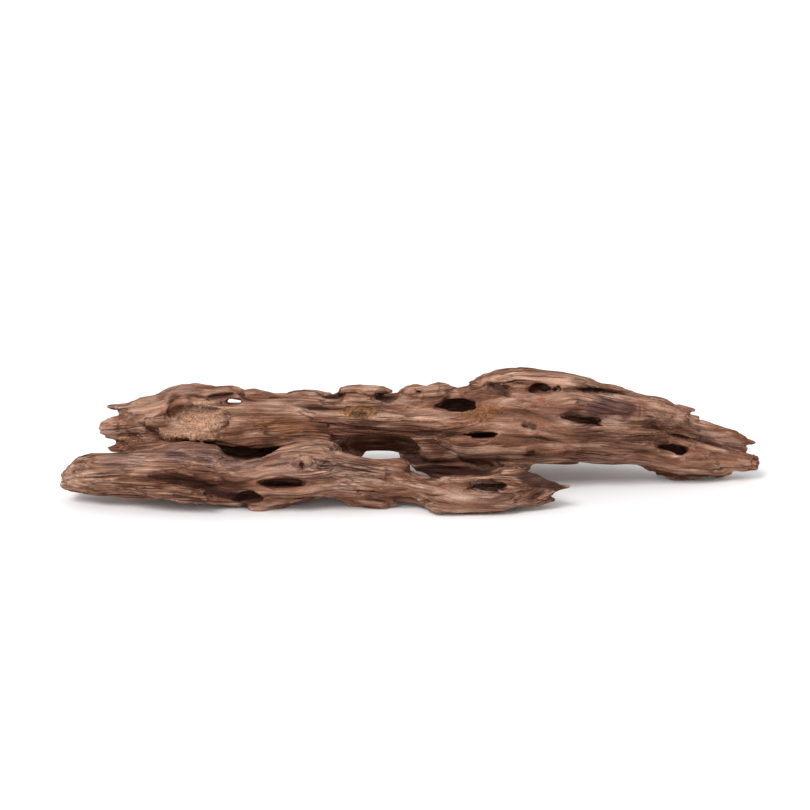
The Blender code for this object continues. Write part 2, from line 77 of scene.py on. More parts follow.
Point = tuple[float, float, float]
Pixel = tuple[float, float]
Colour = tuple[float, float, float]
Row = tuple[float, ...]
Station = tuple[float, float, float, float, float]


class MarkKind(Enum):
    """What a mark does to the surface along its path."""

    CRACK = "crack"
    SLOT = "slot"
    HOLLOW = "hollow"
    RIDGE = "ridge"


class Patch(Enum):
    """Kinds of wood that show in patches on the piece, and patches of painted shade and shadow, each stored
    as one attribute.
    """

    STRAW = "straw"
    ORANGE = "orange"
    OLIVE = "olive"
    # Purple-brown wood, in places painted shade.
    PURPLE = "purple"
    GREY = "grey"
    RED = "red"
    PALE = "pale"
    # Painted shade, darker and redder.
    SHADE = "shade"
    # Painted shadow, near-black.
    DARK = "painted_shadow"
    CRUMB = "crumb"
    CALM = "calm"


@dataclass(frozen=True)
class PhotoView:
    """The camera that the piece was photographed with, and the way from its pixels to the piece."""

    aim: Point = (-0.0070, 0.0053, 0.056)
    pitch: float = math.radians(17.0)
    distance: float = 1.25
    lens: float = 85.0
    sensor: float = 36.0
    pixels: int = 810

    @property
    def forward(self) -> np.ndarray:
        """The direction in which the camera looks."""
        return np.array([0.0, math.cos(self.pitch), -math.sin(self.pitch)])

    @property
    def upward(self) -> np.ndarray:
        """The direction that is up in the picture."""
        return np.array([0.0, math.sin(self.pitch), math.cos(self.pitch)])

    @property
    def position(self) -> np.ndarray:
        """Where the camera stands."""
        return np.array(self.aim) - self.forward * self.distance

    @property
    def scale(self) -> float:
        """Pixels per unit of slope."""
        return self.lens / self.sensor * self.pixels

    def ray(self, pixel: Pixel) -> np.ndarray:
        """The direction from the camera through a pixel."""
        right = (pixel[0] - self.pixels / 2) / self.scale
        high = (self.pixels / 2 - pixel[1]) / self.scale
        way = self.forward + right * np.array([1.0, 0.0, 0.0]) + high * self.upward
        return way / np.linalg.norm(way)

    def project(self, places: np.ndarray) -> tuple[np.ndarray, np.ndarray]:
        """Where places show in the photograph.

        Args:
            places: an array of points, in metres.

        Returns:
            Their pixels, and how far in front of the camera they are.
        """
        away = places - self.position
        depth = away @ self.forward
        right = self.pixels / 2 + self.scale * away[:, 0] / depth
        down = self.pixels / 2 - self.scale * (away @ self.upward) / depth
        return np.column_stack([right, down]), depth

    def hit(self, tree: BVHTree, pixel: Pixel) -> np.ndarray | None:
        """The point of the piece that shows at a pixel, or None beside it."""
        found = tree.ray_cast(Vector(self.position), Vector(self.ray(pixel)))[0]
        return None if found is None else np.array(found)

    def make_camera(self) -> bpy.types.Object:
        """Adds the camera to the scene."""
        data = bpy.data.cameras.new("photo_camera")
        data.lens = self.lens
        data.sensor_width = self.sensor
        data.clip_start = 0.01
        camera = bpy.data.objects.new("photo_camera", data)
        camera.location = Vector(self.position)
        camera.rotation_euler = (math.pi / 2 - self.pitch, 0.0, 0.0)
        bpy.context.scene.collection.objects.link(camera)
        bpy.context.scene.camera = camera
        return camera


@dataclass(frozen=True)
class Mark:
    """A crack, slot, hollow or ridge along a path of pixels. Its half width and depth are in millimetres."""

    kind: MarkKind
    path: tuple[Pixel, ...]
    width: float
    depth: float
    # How much shadow is painted inside the mark, 0 to 1.
    painted_shadow: float = 1.0


@dataclass(frozen=True)
class Zone:
    """An oval of one kind of wood, or of painted shade or shadow, placed by a pixel, with radii in pixels
    and a tilt in degrees.
    """

    patch: Patch
    centre: Pixel
    radii: Pixel
    tilt: float = 0.0
    strength: float = 1.0
    reach: float = 22.0


@dataclass(frozen=True)
class Knot:
    """A place that the grain bends around: its x and z, half length and half height, in millimetres."""

    x: float
    z: float
    length: float
    height: float
    push: float


@dataclass(frozen=True)
class Strut:
    """A splinter that bridges a hole between two pixels of its rim, with a half width in millimetres."""

    first: Pixel
    last: Pixel
    width: float


def marks_of(groups: dict[MarkKind, tuple[Row, ...]]) -> tuple[Mark, ...]:
    """Marks from rows: half width, depth, how much shadow is painted inside the mark, then x and y of each
    pixel of its path.
    """
    return tuple(
        Mark(kind, tuple(zip(row[3::2], row[4::2])), *row[:3])
        for kind, rows in groups.items()
        for row in rows
    )


def zones_of(groups: dict[Patch, tuple[Row, ...]]) -> tuple[Zone, ...]:
    """Zones from rows: x and y of a centre, two radii, tilt, strength and, where it isn't usual, reach."""
    return tuple(
        Zone(patch, row[:2], row[2:4], *row[4:])
        for patch, rows in groups.items()
        for row in rows
    )


# The lines that the grain follows, through points (x, y, z) in millimetres.
STREAMS: dict[str, tuple[Point, ...]] = {
    "front_log": (
        (-229, -22, 14), (-190, -24, 18), (-150, -27, 18), (-115, -28, 15), (-80, -28, 18), (-50, -28, 20),
        (-10, -31, 14), (30, -39, 10), (60, -39, 10.5), (100, -39, 15),
    ),
    "rear_log": (
        (-205, 15, 36), (-160, 20, 38), (-100, 21, 40), (-50, 21, 39), (0, 21, 37), (50, 22, 38.5),
        (100, 23, 38), (140, 22, 35), (180, 20, 32), (226, 20, 25),
    ),
    "upper_line": (
        (-200, 16, 50), (-157, 21, 57), (-115, 22, 58.5), (-60, 21, 58.5), (0, 20, 60), (30, 23, 60.5),
        (66, 27, 67), (100, 27, 64.5), (136, 25, 57.5), (176, 23, 48.5), (194, 22, 45),
    ),
    "lower_long": (
        (-205, 15, 26), (-120, 12, 30), (-60, 10, 30), (10, 6, 30), (50, 0, 32), (86, 5, 29),
        (126, 11, 26), (161, 16, 21), (201, 20, 14), (230, 20, 11),
    ),
}

KNOTS: tuple[Knot, ...] = (
    Knot(-71, 32, 16, 6, 4.0),
    Knot(29, 54, 22, 6, 3.5),
    Knot(42, 40, 16, 4, 2.5),
    Knot(108, 51, 20, 6, 4.0),
    Knot(170, 27, 18, 6, 4.0),
    Knot(83, 64, 14, 4, 2.5),
    Knot(-132, 50, 26, 12, 5.0),
    Knot(44, 19, 20, 6, 3.5),
    Knot(-128, 9, 10, 5, 3.0),
    Knot(103, 58, 9, 6, 2.5),
    Knot(-84, 19, 18, 5, 3.0),
)

# Thin tips of wood through stations (x, y, z, half height, half depth), in millimetres.
SHARDS: dict[str, tuple[Station, ...]] = {
    "high_tooth": (
        (-203.5, 17.3, 51.3, 1, 1.3), (-200.5, 17.3, 51, 1.6, 2.2), (-195, 17.4, 50.5, 2.5, 3.5),
        (-188, 17.8, 49.4, 3.8, 5.2),
    ),
    "low_tooth": ((-205.5, 13.3, 31, 1, 1.3), (-202, 13.3, 30.7, 1.5, 2.2), (-195, 13.7, 30.3, 2.6, 4)),
    "base_tooth": ((-202.5, 11.3, 24.2, 1, 1.3), (-199, 11.3, 24.4, 1.6, 2.3), (-192, 11.8, 24.6, 2.6, 4)),
    "spike": (
        (98, -39.7, 15.3, 1, 1.2), (94, -39.6, 15, 1.5, 2.1), (89, -39.1, 14.2, 2.4, 3.4),
        (78, -38.7, 13, 4.6, 6),
    ),
    "lobe_tip": ((88.5, -40.7, 6.8, 1, 1.3), (84, -40.7, 6.8, 1.7, 2.5), (77, -40.7, 6.8, 2.9, 4.5)),
    "plank_tip": ((185.5, 22.3, 47.4, 1, 1.3), (181, 22.3, 47.9, 1.6, 2.5), (174, 22.4, 48.9, 2.3, 4)),
    "shoulder_tip": ((188, 20.3, 42.4, 1, 1.3), (183, 20.2, 42.6, 1.8, 2.7), (175, 19.4, 43, 2.7, 4.4)),
    "finger_tip": ((226, 20.3, 24.8, 1, 1.4), (221, 20.3, 25.9, 2.2, 3), (213, 20.3, 28, 4, 5.4)),
    "finger_web": ((221.5, 20.3, 20.2, 1, 1.4), (217, 20.3, 20.8, 2.4, 3.4), (209, 20.3, 22, 4, 5.4)),
    "keel_tip": ((210.5, 21.3, 4.8, 1, 1.4), (206, 21.3, 3.8, 2, 3), (199, 21.3, 3.8, 3.2, 5)),
    "wing_tip": ((-112.5, 22.3, 60.3, 1, 2), (-118, 22.3, 60, 2, 4.4), (-126, 22, 59.6, 3, 7)),
    "wing_crest": (
        (-116, 22, 58.8, 1, 3), (-111, 22, 60, 1.4, 5), (-106, 22.5, 60.2, 1.4, 6),
        (-100, 23, 58.8, 1.2, 5), (-94, 23.5, 57.6, 1, 3),
    ),
    "log_crest": (
        (-86, 26.5, 56.6, 1, 3), (-80, 26.5, 57.6, 1.6, 5), (-74, 26.8, 57.8, 1.8, 6),
        (-68, 27.5, 57.4, 1.7, 6), (-62, 28.5, 56.6, 1.4, 5), (-56, 29, 55.6, 1, 3),
    ),
    "left_knob_tip": ((-15.5, 16.3, 61.9, 1, 1.5), (-19, 17.3, 61.9, 1.9, 3.8), (-25, 19, 61.3, 3, 6)),
    "right_knob_tip": ((28.5, 23.2, 60.6, 1, 1.5), (24, 23.3, 61.3, 2.1, 4.6), (18, 22.3, 61.4, 3.6, 8)),
    "plank_hook": ((36, 24, 65.4, 1, 1.6), (41, 25.4, 66, 1.8, 4), (49, 27, 67, 3.4, 8)),
}

STRUTS: tuple[Strut, ...] = (
    Strut((551.3, 383.5), (552.6, 392.3), 1.0),
    Strut((258, 441), (259.5, 453.5), 1.4),
    Strut((561, 417.5), (567, 419), 0.9),
)

ZONES: tuple[Zone, ...] = zones_of(
    {
        Patch.STRAW: (
            (199, 416, 31, 19, 10, 1), (236, 410, 11, 13, 0, 0.6), (196, 437, 40, 5, 0, 0.5),
            (146, 406, 16, 8, -16, 0.4), (129, 440, 15, 7, 12, 0.45),
        ),
        Patch.CRUMB: (
            (197, 420, 29, 18, 8, 0.8), (305, 460, 6, 4.5, 10, 0.4), (196, 437, 40, 5, 0, 1),
            (128, 441, 16, 7, 10, 0.55), (79, 471, 9, 9, 0, 0.6), (359, 412, 18, 7, 0, 0.7),
            (480, 413, 27, 10, 0, 0.6), (755, 462, 5, 10, 0, 0.7),
        ),
        Patch.ORANGE: (
            (196, 438, 40, 5, 0, 0.6), (130, 441, 18, 8, 10, 0.6), (150, 423, 16, 7, 25, 0.35),
            (281, 426, 28, 10, 0, 0.95), (316, 429, 16, 6, 0, 0.8), (252, 452, 30, 5, 0, 0.4),
            (662, 413, 23, 11, 14, 0.4), (480, 413, 28, 11, 0, 0.75), (535, 420, 22, 8, 8, 0.4),
        ),
        # Painted shade: darker, redder colour where shade falls, in recesses, under overhangs and on lower
        # faces.
        Patch.SHADE: (
            (175, 405, 8, 16, 16, 1), (194, 397, 18, 4.5, 0, 0.9), (590, 430, 56, 6, 4, 0.5),
            (712, 443, 26, 3, 15, 0.7), (557, 488, 11, 4.5, 10, 1), (470, 503, 36, 7, 0, 0.75),
            (440, 452, 11, 7, 0, 0.5), (478, 472, 8, 4, 0, 0.8), (590, 438, 44, 4, 4, 0.4),
            (668, 460, 17, 4.5, 11, 0.9), (222, 493, 26, 6, 10, 0.9), (158, 477, 14, 4.5, 6, 0.7),
            (151, 431, 9, 4.5, 24, 1), (438, 451, 13, 8, 42, 1), (558, 407, 26, 7, 8, 0.65),
            (620, 451, 50, 8, 2, 0.7), (322, 481, 24, 7, 2, 0.4), (442, 495, 18, 7, 0, 0.45),
            (535, 402, 20, 6, 20, 0.35), (195, 483, 62, 9, 7, 0.85), (240, 495, 30, 8, 8, 0.8),
            (590, 432, 64, 9, 4, 0.75), (612, 459, 64, 8, 3, 0.55), (522, 493, 24, 10, 0, 0.85),
            (600, 391, 34, 4, 8, 0.6), (350, 432, 70, 6, 4, 0.5), (376, 446, 38, 10, 0, 1, 60),
            (445, 470, 44, 7, 3, 1, 60), (690, 446, 26, 7, 12, 0.5), (136, 444, 18, 7, 0, 0.4),
            (297, 466, 9, 4, 20, 0.5), (632, 411, 12, 9, 8, 0.5),
        ),
        # Painted shadow: near-black in holes, slots and shaded undersides.
        Patch.DARK: (
            (171, 404, 4, 13, 14, 0.3, 20), (530, 426, 7, 3, 8, 0.7), (684, 437, 15, 1.6, 12, 0.8),
            (558, 488, 11, 3.8, 10, 0.65, 30), (552, 486, 14, 3.5, 14, 0.45, 30),
            (474, 471.5, 18, 3, 3, 0.9, 44), (228, 494, 26, 5, 12, 0.85, 34),
            (301.8, 465.5, 2.6, 4, 0, 0.8, 10), (359, 414, 9, 3, 0, 0.7),
            (480, 434.5, 18, 3.2, 0, 0.8, 14), (581, 421, 20, 4, 13, 0.7, 16),
            (484, 486.5, 11, 3.6, 6, 0.5, 16), (281, 484.5, 24, 3.6, 0, 1, 18),
            (248, 496, 15, 6, 8, 0.9, 18), (446, 470, 40, 5, 3, 1, 44), (414, 458, 14, 6, 10, 0.9, 44),
            (190, 483, 42, 4, 7, 0.6, 18), (232, 488, 14, 5, 8, 0.5, 18), (538, 480, 22, 8, 14, 0.95, 40),
            (220, 396, 15, 3.2, -6, 0.9, 26), (197, 392, 8, 4, 0, 0.35, 12), (386, 396, 10, 3, 0, 0.6, 24),
            (383, 390, 5, 3, 0, 0.7, 24), (334, 396.5, 12, 3.2, -6, 0.75, 24),
        ),
        Patch.PALE: (
            (147, 408, 24, 12, -16, 0.9), (336, 468, 40, 7, 3, 0.6), (420, 386, 20, 5, 0, 0.4),
            (215, 389, 16, 4, 0, 0.5), (255, 392, 14, 3, 0, 0.6), (306, 392, 20, 3, 0, 0.5),
            (290, 404, 28, 7, 3, 1), (690, 472, 28, 6, 10, 0.8), (360, 470, 34, 8, 2, 0.45),
            (674, 455, 15, 1.7, 12, 0.6), (710, 448, 24, 2.6, 15, 0.8), (551.8, 388, 2, 5, 0, 1, 7),
            (268, 504, 12, 4, 0, 0.5), (362, 390, 24, 6, 0, 0.5), (424, 389, 24, 9, 0, 0.55),
            (412, 414, 36, 12, 0, 0.45), (307, 460, 7, 4.5, 10, 1), (345, 468, 46, 9, 2, 0.35),
            (78, 473, 16, 12, 0, 1), (100, 480, 26, 8, 6, 0.55), (300, 408, 50, 9, 4, 0.45),
            (270, 404, 22, 8, 4, 0.6), (345, 404, 20, 5, 0, 0.35), (660, 412, 22, 10, 14, 0.55),
            (486, 452, 44, 8, 3, 0.85), (556, 378, 74, 7, 3, 0.7), (560, 409, 20, 6, 8, 0.35),
            (700, 424, 26, 7, 22, 0.5),
        ),
        Patch.CALM: (
            (150, 408, 24, 13, -16, 1), (668, 412, 28, 12, 14, 1), (131, 421, 22, 10, 20, 0.8),
            (486, 453, 46, 10, 3, 0.7), (448, 490, 32, 14, 0, 1), (470, 503, 34, 8, 0, 0.8),
            (562, 405, 24, 9, 10, 0.4), (80, 474, 16, 12, 0, 0.5),
        ),
        Patch.GREY: (
            (215, 457, 80, 12, 4, 1), (310, 467, 90, 13, 3, 0.6), (120, 462, 36, 9, 0, 0.6),
            (180, 392, 22, 8, -10, 0.5), (716, 440, 34, 12, 18, 0.6), (690, 472, 40, 9, 12, 0.3),
            (600, 462, 44, 9, 6, 0.4),
        ),
        # Purple-brown wood; the patch in the hollow below the plank's left end, and the one laid over the
        # shaded band on the right, are painted shade.
        Patch.PURPLE: (
            (175, 454, 14, 4, 0, 0.8), (610, 408, 28, 11, 8, 0.75), (624, 409, 17, 11, 8, 1),
            (501, 391, 22, 7, 32, 0.45), (590, 432, 26, 6, 4, 0.5),
        ),
        Patch.OLIVE: (
            (359, 412, 20, 8, 0, 1),
        ),
        Patch.RED: (
            (541, 400, 8, 5, 0, 0.8), (755, 462, 5, 10, 0, 0.4),
        ),
    }
)

# The third number of each row is how much shadow is painted inside the mark.
MARKS: tuple[Mark, ...] = marks_of(
    {
        MarkKind.SLOT: (
            (2.6, 4, 1, 261, 484.5, 280, 484, 302, 485), (2, 2.5, 1, 463, 434, 480, 434.5, 498, 434),
            (2.4, 2.5, 1, 561, 416.5, 580, 420.5, 602, 425.5),
            (2.6, 3, 0.6, 476, 486, 488, 487.5, 506, 489), (1.4, 2.6, 1, 357, 492, 367, 492.5, 377, 492),
            (2.4, 3, 1, 323, 397, 334, 396.5, 345, 394.5),
            (2.2, 2.5, 0.7, 376, 394.5, 386, 396.5, 397, 396), (2.2, 3.2, 1, 582, 390, 600, 390, 620, 393),
            (2.5, 3.4, 1, 555.5, 388, 561, 389.5), (2.8, 3.4, 1, 541, 389, 549, 389.5),
            (2.2, 4, 0.8, 235, 388, 240, 391, 244, 397), (1.7, 2.5, 1, 208, 397, 220, 395.5, 234, 392.5),
            (1.5, 3, 1, 671, 435, 680, 436.5, 690, 439),
        ),
        MarkKind.CRACK: (
            (1.5, 2.2, 0.8, 688, 438.5, 700, 441, 716, 445, 732, 450, 742, 452),
            (1.2, 2, 1, 305, 420, 325, 423, 350, 427, 380, 431, 405, 432, 425, 437),
            (1.1, 1.6, 1, 437, 438, 450, 435, 463, 432), (1.3, 2, 1, 499, 434, 520, 436, 548, 438),
            (1.4, 2, 0.5, 425, 440, 442, 447, 455, 452, 462, 460, 480, 465, 530, 468),
            (1.8, 1.8, 1, 535, 437, 548, 440, 566, 443), (0.9, 1.2, 1, 262, 466, 276, 465, 290, 463),
            (0.8, 1.2, 1, 335, 463, 360, 464, 384, 467), (0.8, 1.2, 1, 340, 469, 360, 470, 380, 473),
            (0.9, 1.2, 1, 345, 474, 366, 476, 385, 479), (0.8, 1, 1, 318, 459, 345, 458, 392, 461),
            (1, 1.4, 1, 395, 416, 412, 415, 432, 416), (0.9, 1.2, 1, 400, 420, 420, 421, 440, 422),
            (0.9, 1.2, 1, 388, 425, 410, 426, 436, 429), (0.9, 1.2, 1, 345, 401, 358, 402, 373, 402),
            (1.2, 1.8, 1, 268, 398, 276, 397, 284, 398), (1, 1.2, 1, 236, 393, 246, 399, 262, 402),
            (1, 1.4, 1, 298, 412, 305, 415, 314, 419), (0.8, 1.2, 1, 302, 409, 308, 412, 316, 414),
            (0.8, 1, 1, 314, 462, 320, 466, 335, 468), (0.7, 1, 1, 322, 464, 328, 462, 334, 465),
            (1.3, 2.2, 1, 175, 441, 198, 442, 222, 443, 238, 446),
            (1.5, 2, 1, 138, 422, 148, 429, 160, 434),
            (1.3, 1.6, 1, 184, 395, 176, 397, 170, 403, 168, 412, 171, 420),
            (1, 1.4, 1, 185, 394, 205, 398, 212, 402), (1, 2, 1, 210, 397, 220, 395, 237, 393),
            (1, 1.2, 0.7, 113, 440, 124, 442, 134, 449), (0.9, 1.2, 0.7, 126, 431, 137, 437, 150, 446),
            (1.6, 1.6, 0.85, 148, 475, 158, 480, 175, 481, 200, 487, 225, 484),
            (1, 1.4, 1, 222, 476, 226, 482, 238, 484),
            (1.4, 3, 1, 576, 390, 590, 389, 612, 391, 628, 394, 645, 396, 656, 400),
            (0.8, 1, 1, 500, 375, 535, 376, 570, 378), (0.8, 1, 1, 505, 381, 518, 383, 530, 385),
            (0.8, 1, 1, 581, 383, 600, 385, 625, 389), (0.9, 1, 0.3, 640, 403, 640.5, 411, 639, 421),
            (0.9, 1.4, 1, 655, 424, 668, 424, 681, 422), (1, 1.8, 1, 663, 403, 672, 405, 681, 408),
            (1, 1.2, 0.35, 700, 451, 712, 462, 726, 470), (0.9, 1.2, 1, 586, 430, 620, 434, 655, 437),
            (0.9, 1.2, 1, 560, 452, 600, 454, 640, 455), (0.9, 1.2, 1, 552, 462, 590, 468, 640, 470),
            (0.9, 1.2, 1, 640, 466, 672, 474, 700, 482), (0.9, 1.4, 1, 424, 494, 434, 495.5, 446, 494),
            (0.8, 1.2, 1, 464, 490, 470, 488, 476, 487), (0.8, 1, 1, 436, 381, 440, 386, 438, 393),
            (0.9, 1.1, 0.6, 292, 465, 295, 458, 303, 454.5, 312, 456.5, 316, 462),
            (1.2, 1.4, 0.6, 489, 383, 495, 389, 506, 394), (1, 1.2, 0.5, 497, 383, 505, 388, 512, 391),
        ),
        MarkKind.RIDGE: (
            (1.6, 0.9, 1, 692, 443, 706, 446, 722, 451), (3, 0.9, 1, 62, 483, 75, 476, 90, 475),
            (1.4, 1, 1, 656, 449, 668, 455.5, 687, 457.5),
            (1.4, 0.8, 1, 197, 493, 201, 488.5, 208, 487, 215, 489, 218, 493),
            (1.4, 0.8, 1, 197, 493, 202, 498, 209, 499, 215, 497, 218, 493),
            (1.5, 1, 1, 307, 457, 311, 462, 309, 468), (1.6, 1, 1, 152, 477, 154.5, 478, 157, 479),
            (1.4, 0.8, 1, 341, 409, 350, 405.5, 362, 405, 374, 408),
            (1.4, 0.8, 1, 342, 414, 352, 419, 366, 419, 376, 414),
            (1.2, 0.7, 1, 296, 461, 300, 457.5, 307, 457),
        ),
        MarkKind.HOLLOW: (
            (2.6, 1.4, 0.45, 385, 467, 389, 472, 386, 480),
            (2.5, 2.8, 1, 301, 461.5, 301.5, 465, 303, 469),
            (2.2, 1.2, 0.5, 204, 493, 207, 493.5, 210, 493), (1.4, 1.4, 0.9, 221, 402, 221.5, 402.5),
            (1.3, 1.4, 0.9, 220, 409, 220.5, 409.5), (1.3, 1.4, 0.9, 226, 429, 227, 430),
            (1.1, 1.2, 0.8, 215, 424, 216, 425), (1.5, 1.6, 1, 328, 425, 329, 426),
            (2.2, 1, 0.5, 350, 414, 359, 415, 368, 413), (3.2, 3, 1, 522, 424.5, 525, 425, 528, 426.5),
            (3, 2.8, 1, 531, 426.5, 533, 428, 536, 428), (2.4, 2, 0.9, 522, 455, 530, 455, 537, 456),
            (3.6, 1.6, 0.6, 576, 403, 583, 403, 589, 404), (1.2, 1.2, 0.9, 672, 416.5, 673, 417.5),
            (1.8, 1.2, 0.7, 698, 430, 700, 430.5), (1.3, 1.2, 0.9, 754, 458, 755, 460),
            (1.2, 1.2, 0.9, 756, 466, 757, 467), (1.1, 1.2, 0.9, 752, 467, 753, 468),
            (2, 1.8, 0.9, 415, 389, 418, 391, 422, 392), (4, 2.2, 0, 231, 387, 237, 388, 242, 390),
            (7, 2.4, 0, 264, 509, 272, 508.5, 280, 506.5, 290, 503),
            (7, 3, 0, 648, 471, 656, 474.5, 664, 477.5, 674, 478.5),
            (4.6, 2.4, 0, 484, 381, 492, 387, 504, 393, 515, 397),
        ),
    }
)


def math_method(operation: str, swapped: bool = False) -> Callable[..., "Sock"]:
    """A method that puts one Math node on a value and another, or on the two swapped."""

    def method(value: "Sock", *others: Any) -> "Sock":
        """The Math node's result."""
        terms = (*others, value) if swapped else (value, *others)
        return value.maker.add("ShaderNodeMath", {"operation": operation}, dict(enumerate(terms)))

    return method


class Sock:
    """A node's output that takes part in Python arithmetic."""

    def __init__(self, maker: "NodeMaker", socket: bpy.types.NodeSocket) -> None:
        """Wraps one output socket of a tree that the maker builds."""
        self.maker = maker
        self.socket = socket

    __add__ = math_method("ADD")
    __radd__ = math_method("ADD", swapped=True)
    __sub__ = math_method("SUBTRACT")
    __rsub__ = math_method("SUBTRACT", swapped=True)
    __mul__ = math_method("MULTIPLY")
    __truediv__ = math_method("DIVIDE")
    __rtruediv__ = math_method("DIVIDE", swapped=True)
    distance = math_method("ABSOLUTE")
    most = math_method("MAXIMUM")

    def step(self, low: float, high: float) -> "Sock":
        """A smooth step: 0 at low, 1 at high."""
        return self.maker.add(
            "ShaderNodeMapRange",
            {"interpolation_type": "SMOOTHSTEP"},
            {"Value": self, "From Min": low, "From Max": high},
        )


@dataclass(frozen=True)
class Layer:
    """Soft noise of a length and a width in metres, and its parts in the tone, the shade and the bump."""

    length: float
    width: float
    detail: float
    roughness: float = 0.5
    tone: float = 0.0
    shade: float = 0.0
    bump: float = 0.0


class NodeMaker:
    """Adds nodes to a tree, each by its type, its settings and the values or links of its sockets."""

    def __init__(self, tree: bpy.types.NodeTree) -> None:
        """Starts on an empty tree."""
        self.tree = tree
        tree.nodes.clear()

    def add(self, kind: str, settings: dict[str, Any], inputs: dict[Any, Any], output: Any = 0) -> Sock:
        """Adds one node.

        Args:
            kind: the node's type.
            settings: its properties, and "stops" for a ramp's positions and colours.
            inputs: its sockets by name or number, each a number, a colour, a vector or a Sock.
            output: the output that is wanted, by name or number.

        Returns:
            That output.
        """
        node = self.tree.nodes.new(kind)
        for name, value in settings.items():
            if name == "stops":
                self._set_stops(node.color_ramp, value)
            else:
                setattr(node, name, value)
        for name, value in inputs.items():
            if isinstance(value, Sock):
                self.tree.links.new(value.socket, node.inputs[name])
            else:
                node.inputs[name].default_value = value
        return Sock(self, node.outputs[output])

    @staticmethod
    def _set_stops(ramp: bpy.types.ColorRamp, stops: Sequence[tuple[float, Colour]]) -> None:
        """Gives a ramp its stops."""
        while len(ramp.elements) < len(stops):
            ramp.elements.new(1.0)
        for element, (position, colour) in zip(ramp.elements, stops):
            element.position = position
            element.color = (*colour, 1.0)

    def noise(self, place: Sock, layer: Layer) -> Sock:
        """A layer's noise, from 0 to 1, drawn out along the first of the place's coordinates."""
        if layer.length != layer.width:
            place = self.times(place, (layer.width / layer.length, 1.0, 1.0))
        return self.add(
            "ShaderNodeTexNoise",
            {"noise_dimensions": "3D"},
            {
                "Vector": place,
                "Scale": 1.0 / layer.width,
                "Detail": layer.detail,
                "Roughness": layer.roughness,
            },
        )

    def cells(self, grain: Sock, width: Any, length: Any, seed: Any) -> Sock:
        """Long cells of wood along the grain.

        Args:
            grain: the grain coordinates.
            width: how wide a cell is, in metres.
            length: how long it is, in metres.
            seed: moves the pattern.

        Returns:
            How far each point is from the nearest split between two cells, as a share of a cell's width.
        """
        squeeze = self.add("ShaderNodeCombineXYZ", {}, {"X": width / length, "Y": 1.0, "Z": CELL_FLATNESS})
        squeezed = self.times(grain, squeeze)
        start = self.add("ShaderNodeCombineXYZ", {}, {"X": seed, "Y": seed, "Z": seed})
        place = self.add("ShaderNodeVectorMath", {"operation": "ADD"}, {0: squeezed, 1: start})
        return self.add(
            "ShaderNodeTexVoronoi",
            {"voronoi_dimensions": "3D", "feature": "DISTANCE_TO_EDGE"},
            {"Vector": place, "Scale": 1.0 / width},
            "Distance",
        )

    def mix(self, share: Any, first: Any, second: Any, blend: str = "MIX") -> Sock:
        """Two colours mixed, the second one by its share."""
        colours = {6: first, 7: second}
        ready = {k: v if isinstance(v, Sock) else (*v, 1.0) for k, v in colours.items()}
        settings = {"data_type": "RGBA", "blend_type": blend}
        return self.add("ShaderNodeMix", settings, {0: share, **ready}, 2)

    def times(self, vector: Sock, factors: Any) -> Sock:
        """A vector with each of its parts multiplied."""
        return self.add("ShaderNodeVectorMath", {"operation": "MULTIPLY"}, {0: vector, 1: factors})

    def scaled(self, vector: Any, scale: Sock) -> Sock:
        """A vector multiplied by one number."""
        return self.add("ShaderNodeVectorMath", {"operation": "SCALE"}, {0: vector, "Scale": scale})


def rows_of(items: Any, name: str, width: int, kind: type) -> np.ndarray:
    """A property of the items, one row for each."""
    flat = np.empty(width * len(items), kind)
    items.foreach_get(name, flat)
    return flat.reshape(-1, width)


def points_of(mesh: bpy.types.Mesh) -> np.ndarray:
    """The mesh's points, in metres."""
    return rows_of(mesh.vertices, "co", 3, np.float32).astype(float)


def normals_of(mesh: bpy.types.Mesh) -> np.ndarray:
    """The directions in which the mesh's points face."""
    return rows_of(mesh.vertex_normals, "vector", 3, np.float32).astype(float)


def tree_of(mesh: bpy.types.Mesh, places: np.ndarray) -> BVHTree:
    """The mesh's faces, with its points at those places, to cast rays on."""
    faces = [tuple(face.vertices) for face in mesh.polygons]
    return BVHTree.FromPolygons([Vector(place) for place in places], faces)


def set_points(mesh: bpy.types.Mesh, places: np.ndarray) -> None:
    """Moves the mesh's points."""
    mesh.vertices.foreach_set("co", places.astype(np.float32).ravel())
    mesh.update()


def store(mesh: bpy.types.Mesh, name: str, values: np.ndarray) -> None:
    """Stores one number or one vector for each point of the mesh."""
    if values.ndim == 1:
        layer = mesh.attributes.new(name, "FLOAT", "POINT")
        layer.data.foreach_set("value", values.astype(np.float32))
    else:
        layer = mesh.attributes.new(name, "FLOAT_VECTOR", "POINT")
        layer.data.foreach_set("vector", values.astype(np.float32).ravel())


def smooth_step(values: np.ndarray, low: float, high: float) -> np.ndarray:
    """0 at low and 1 at high, smoothly between."""
    t = np.clip((values - low) / (high - low), 0.0, 1.0)
    return t * t * (3.0 - 2.0 * t)


def noise_at(places: np.ndarray, size: Sequence[float]) -> np.ndarray:
    """Soft noise between about -1 and 1 at each place, with bumps of those sizes along X, Y and Z."""
    scaled = places / np.array(size)
    return np.array([noise.noise(Vector(place)) for place in scaled])


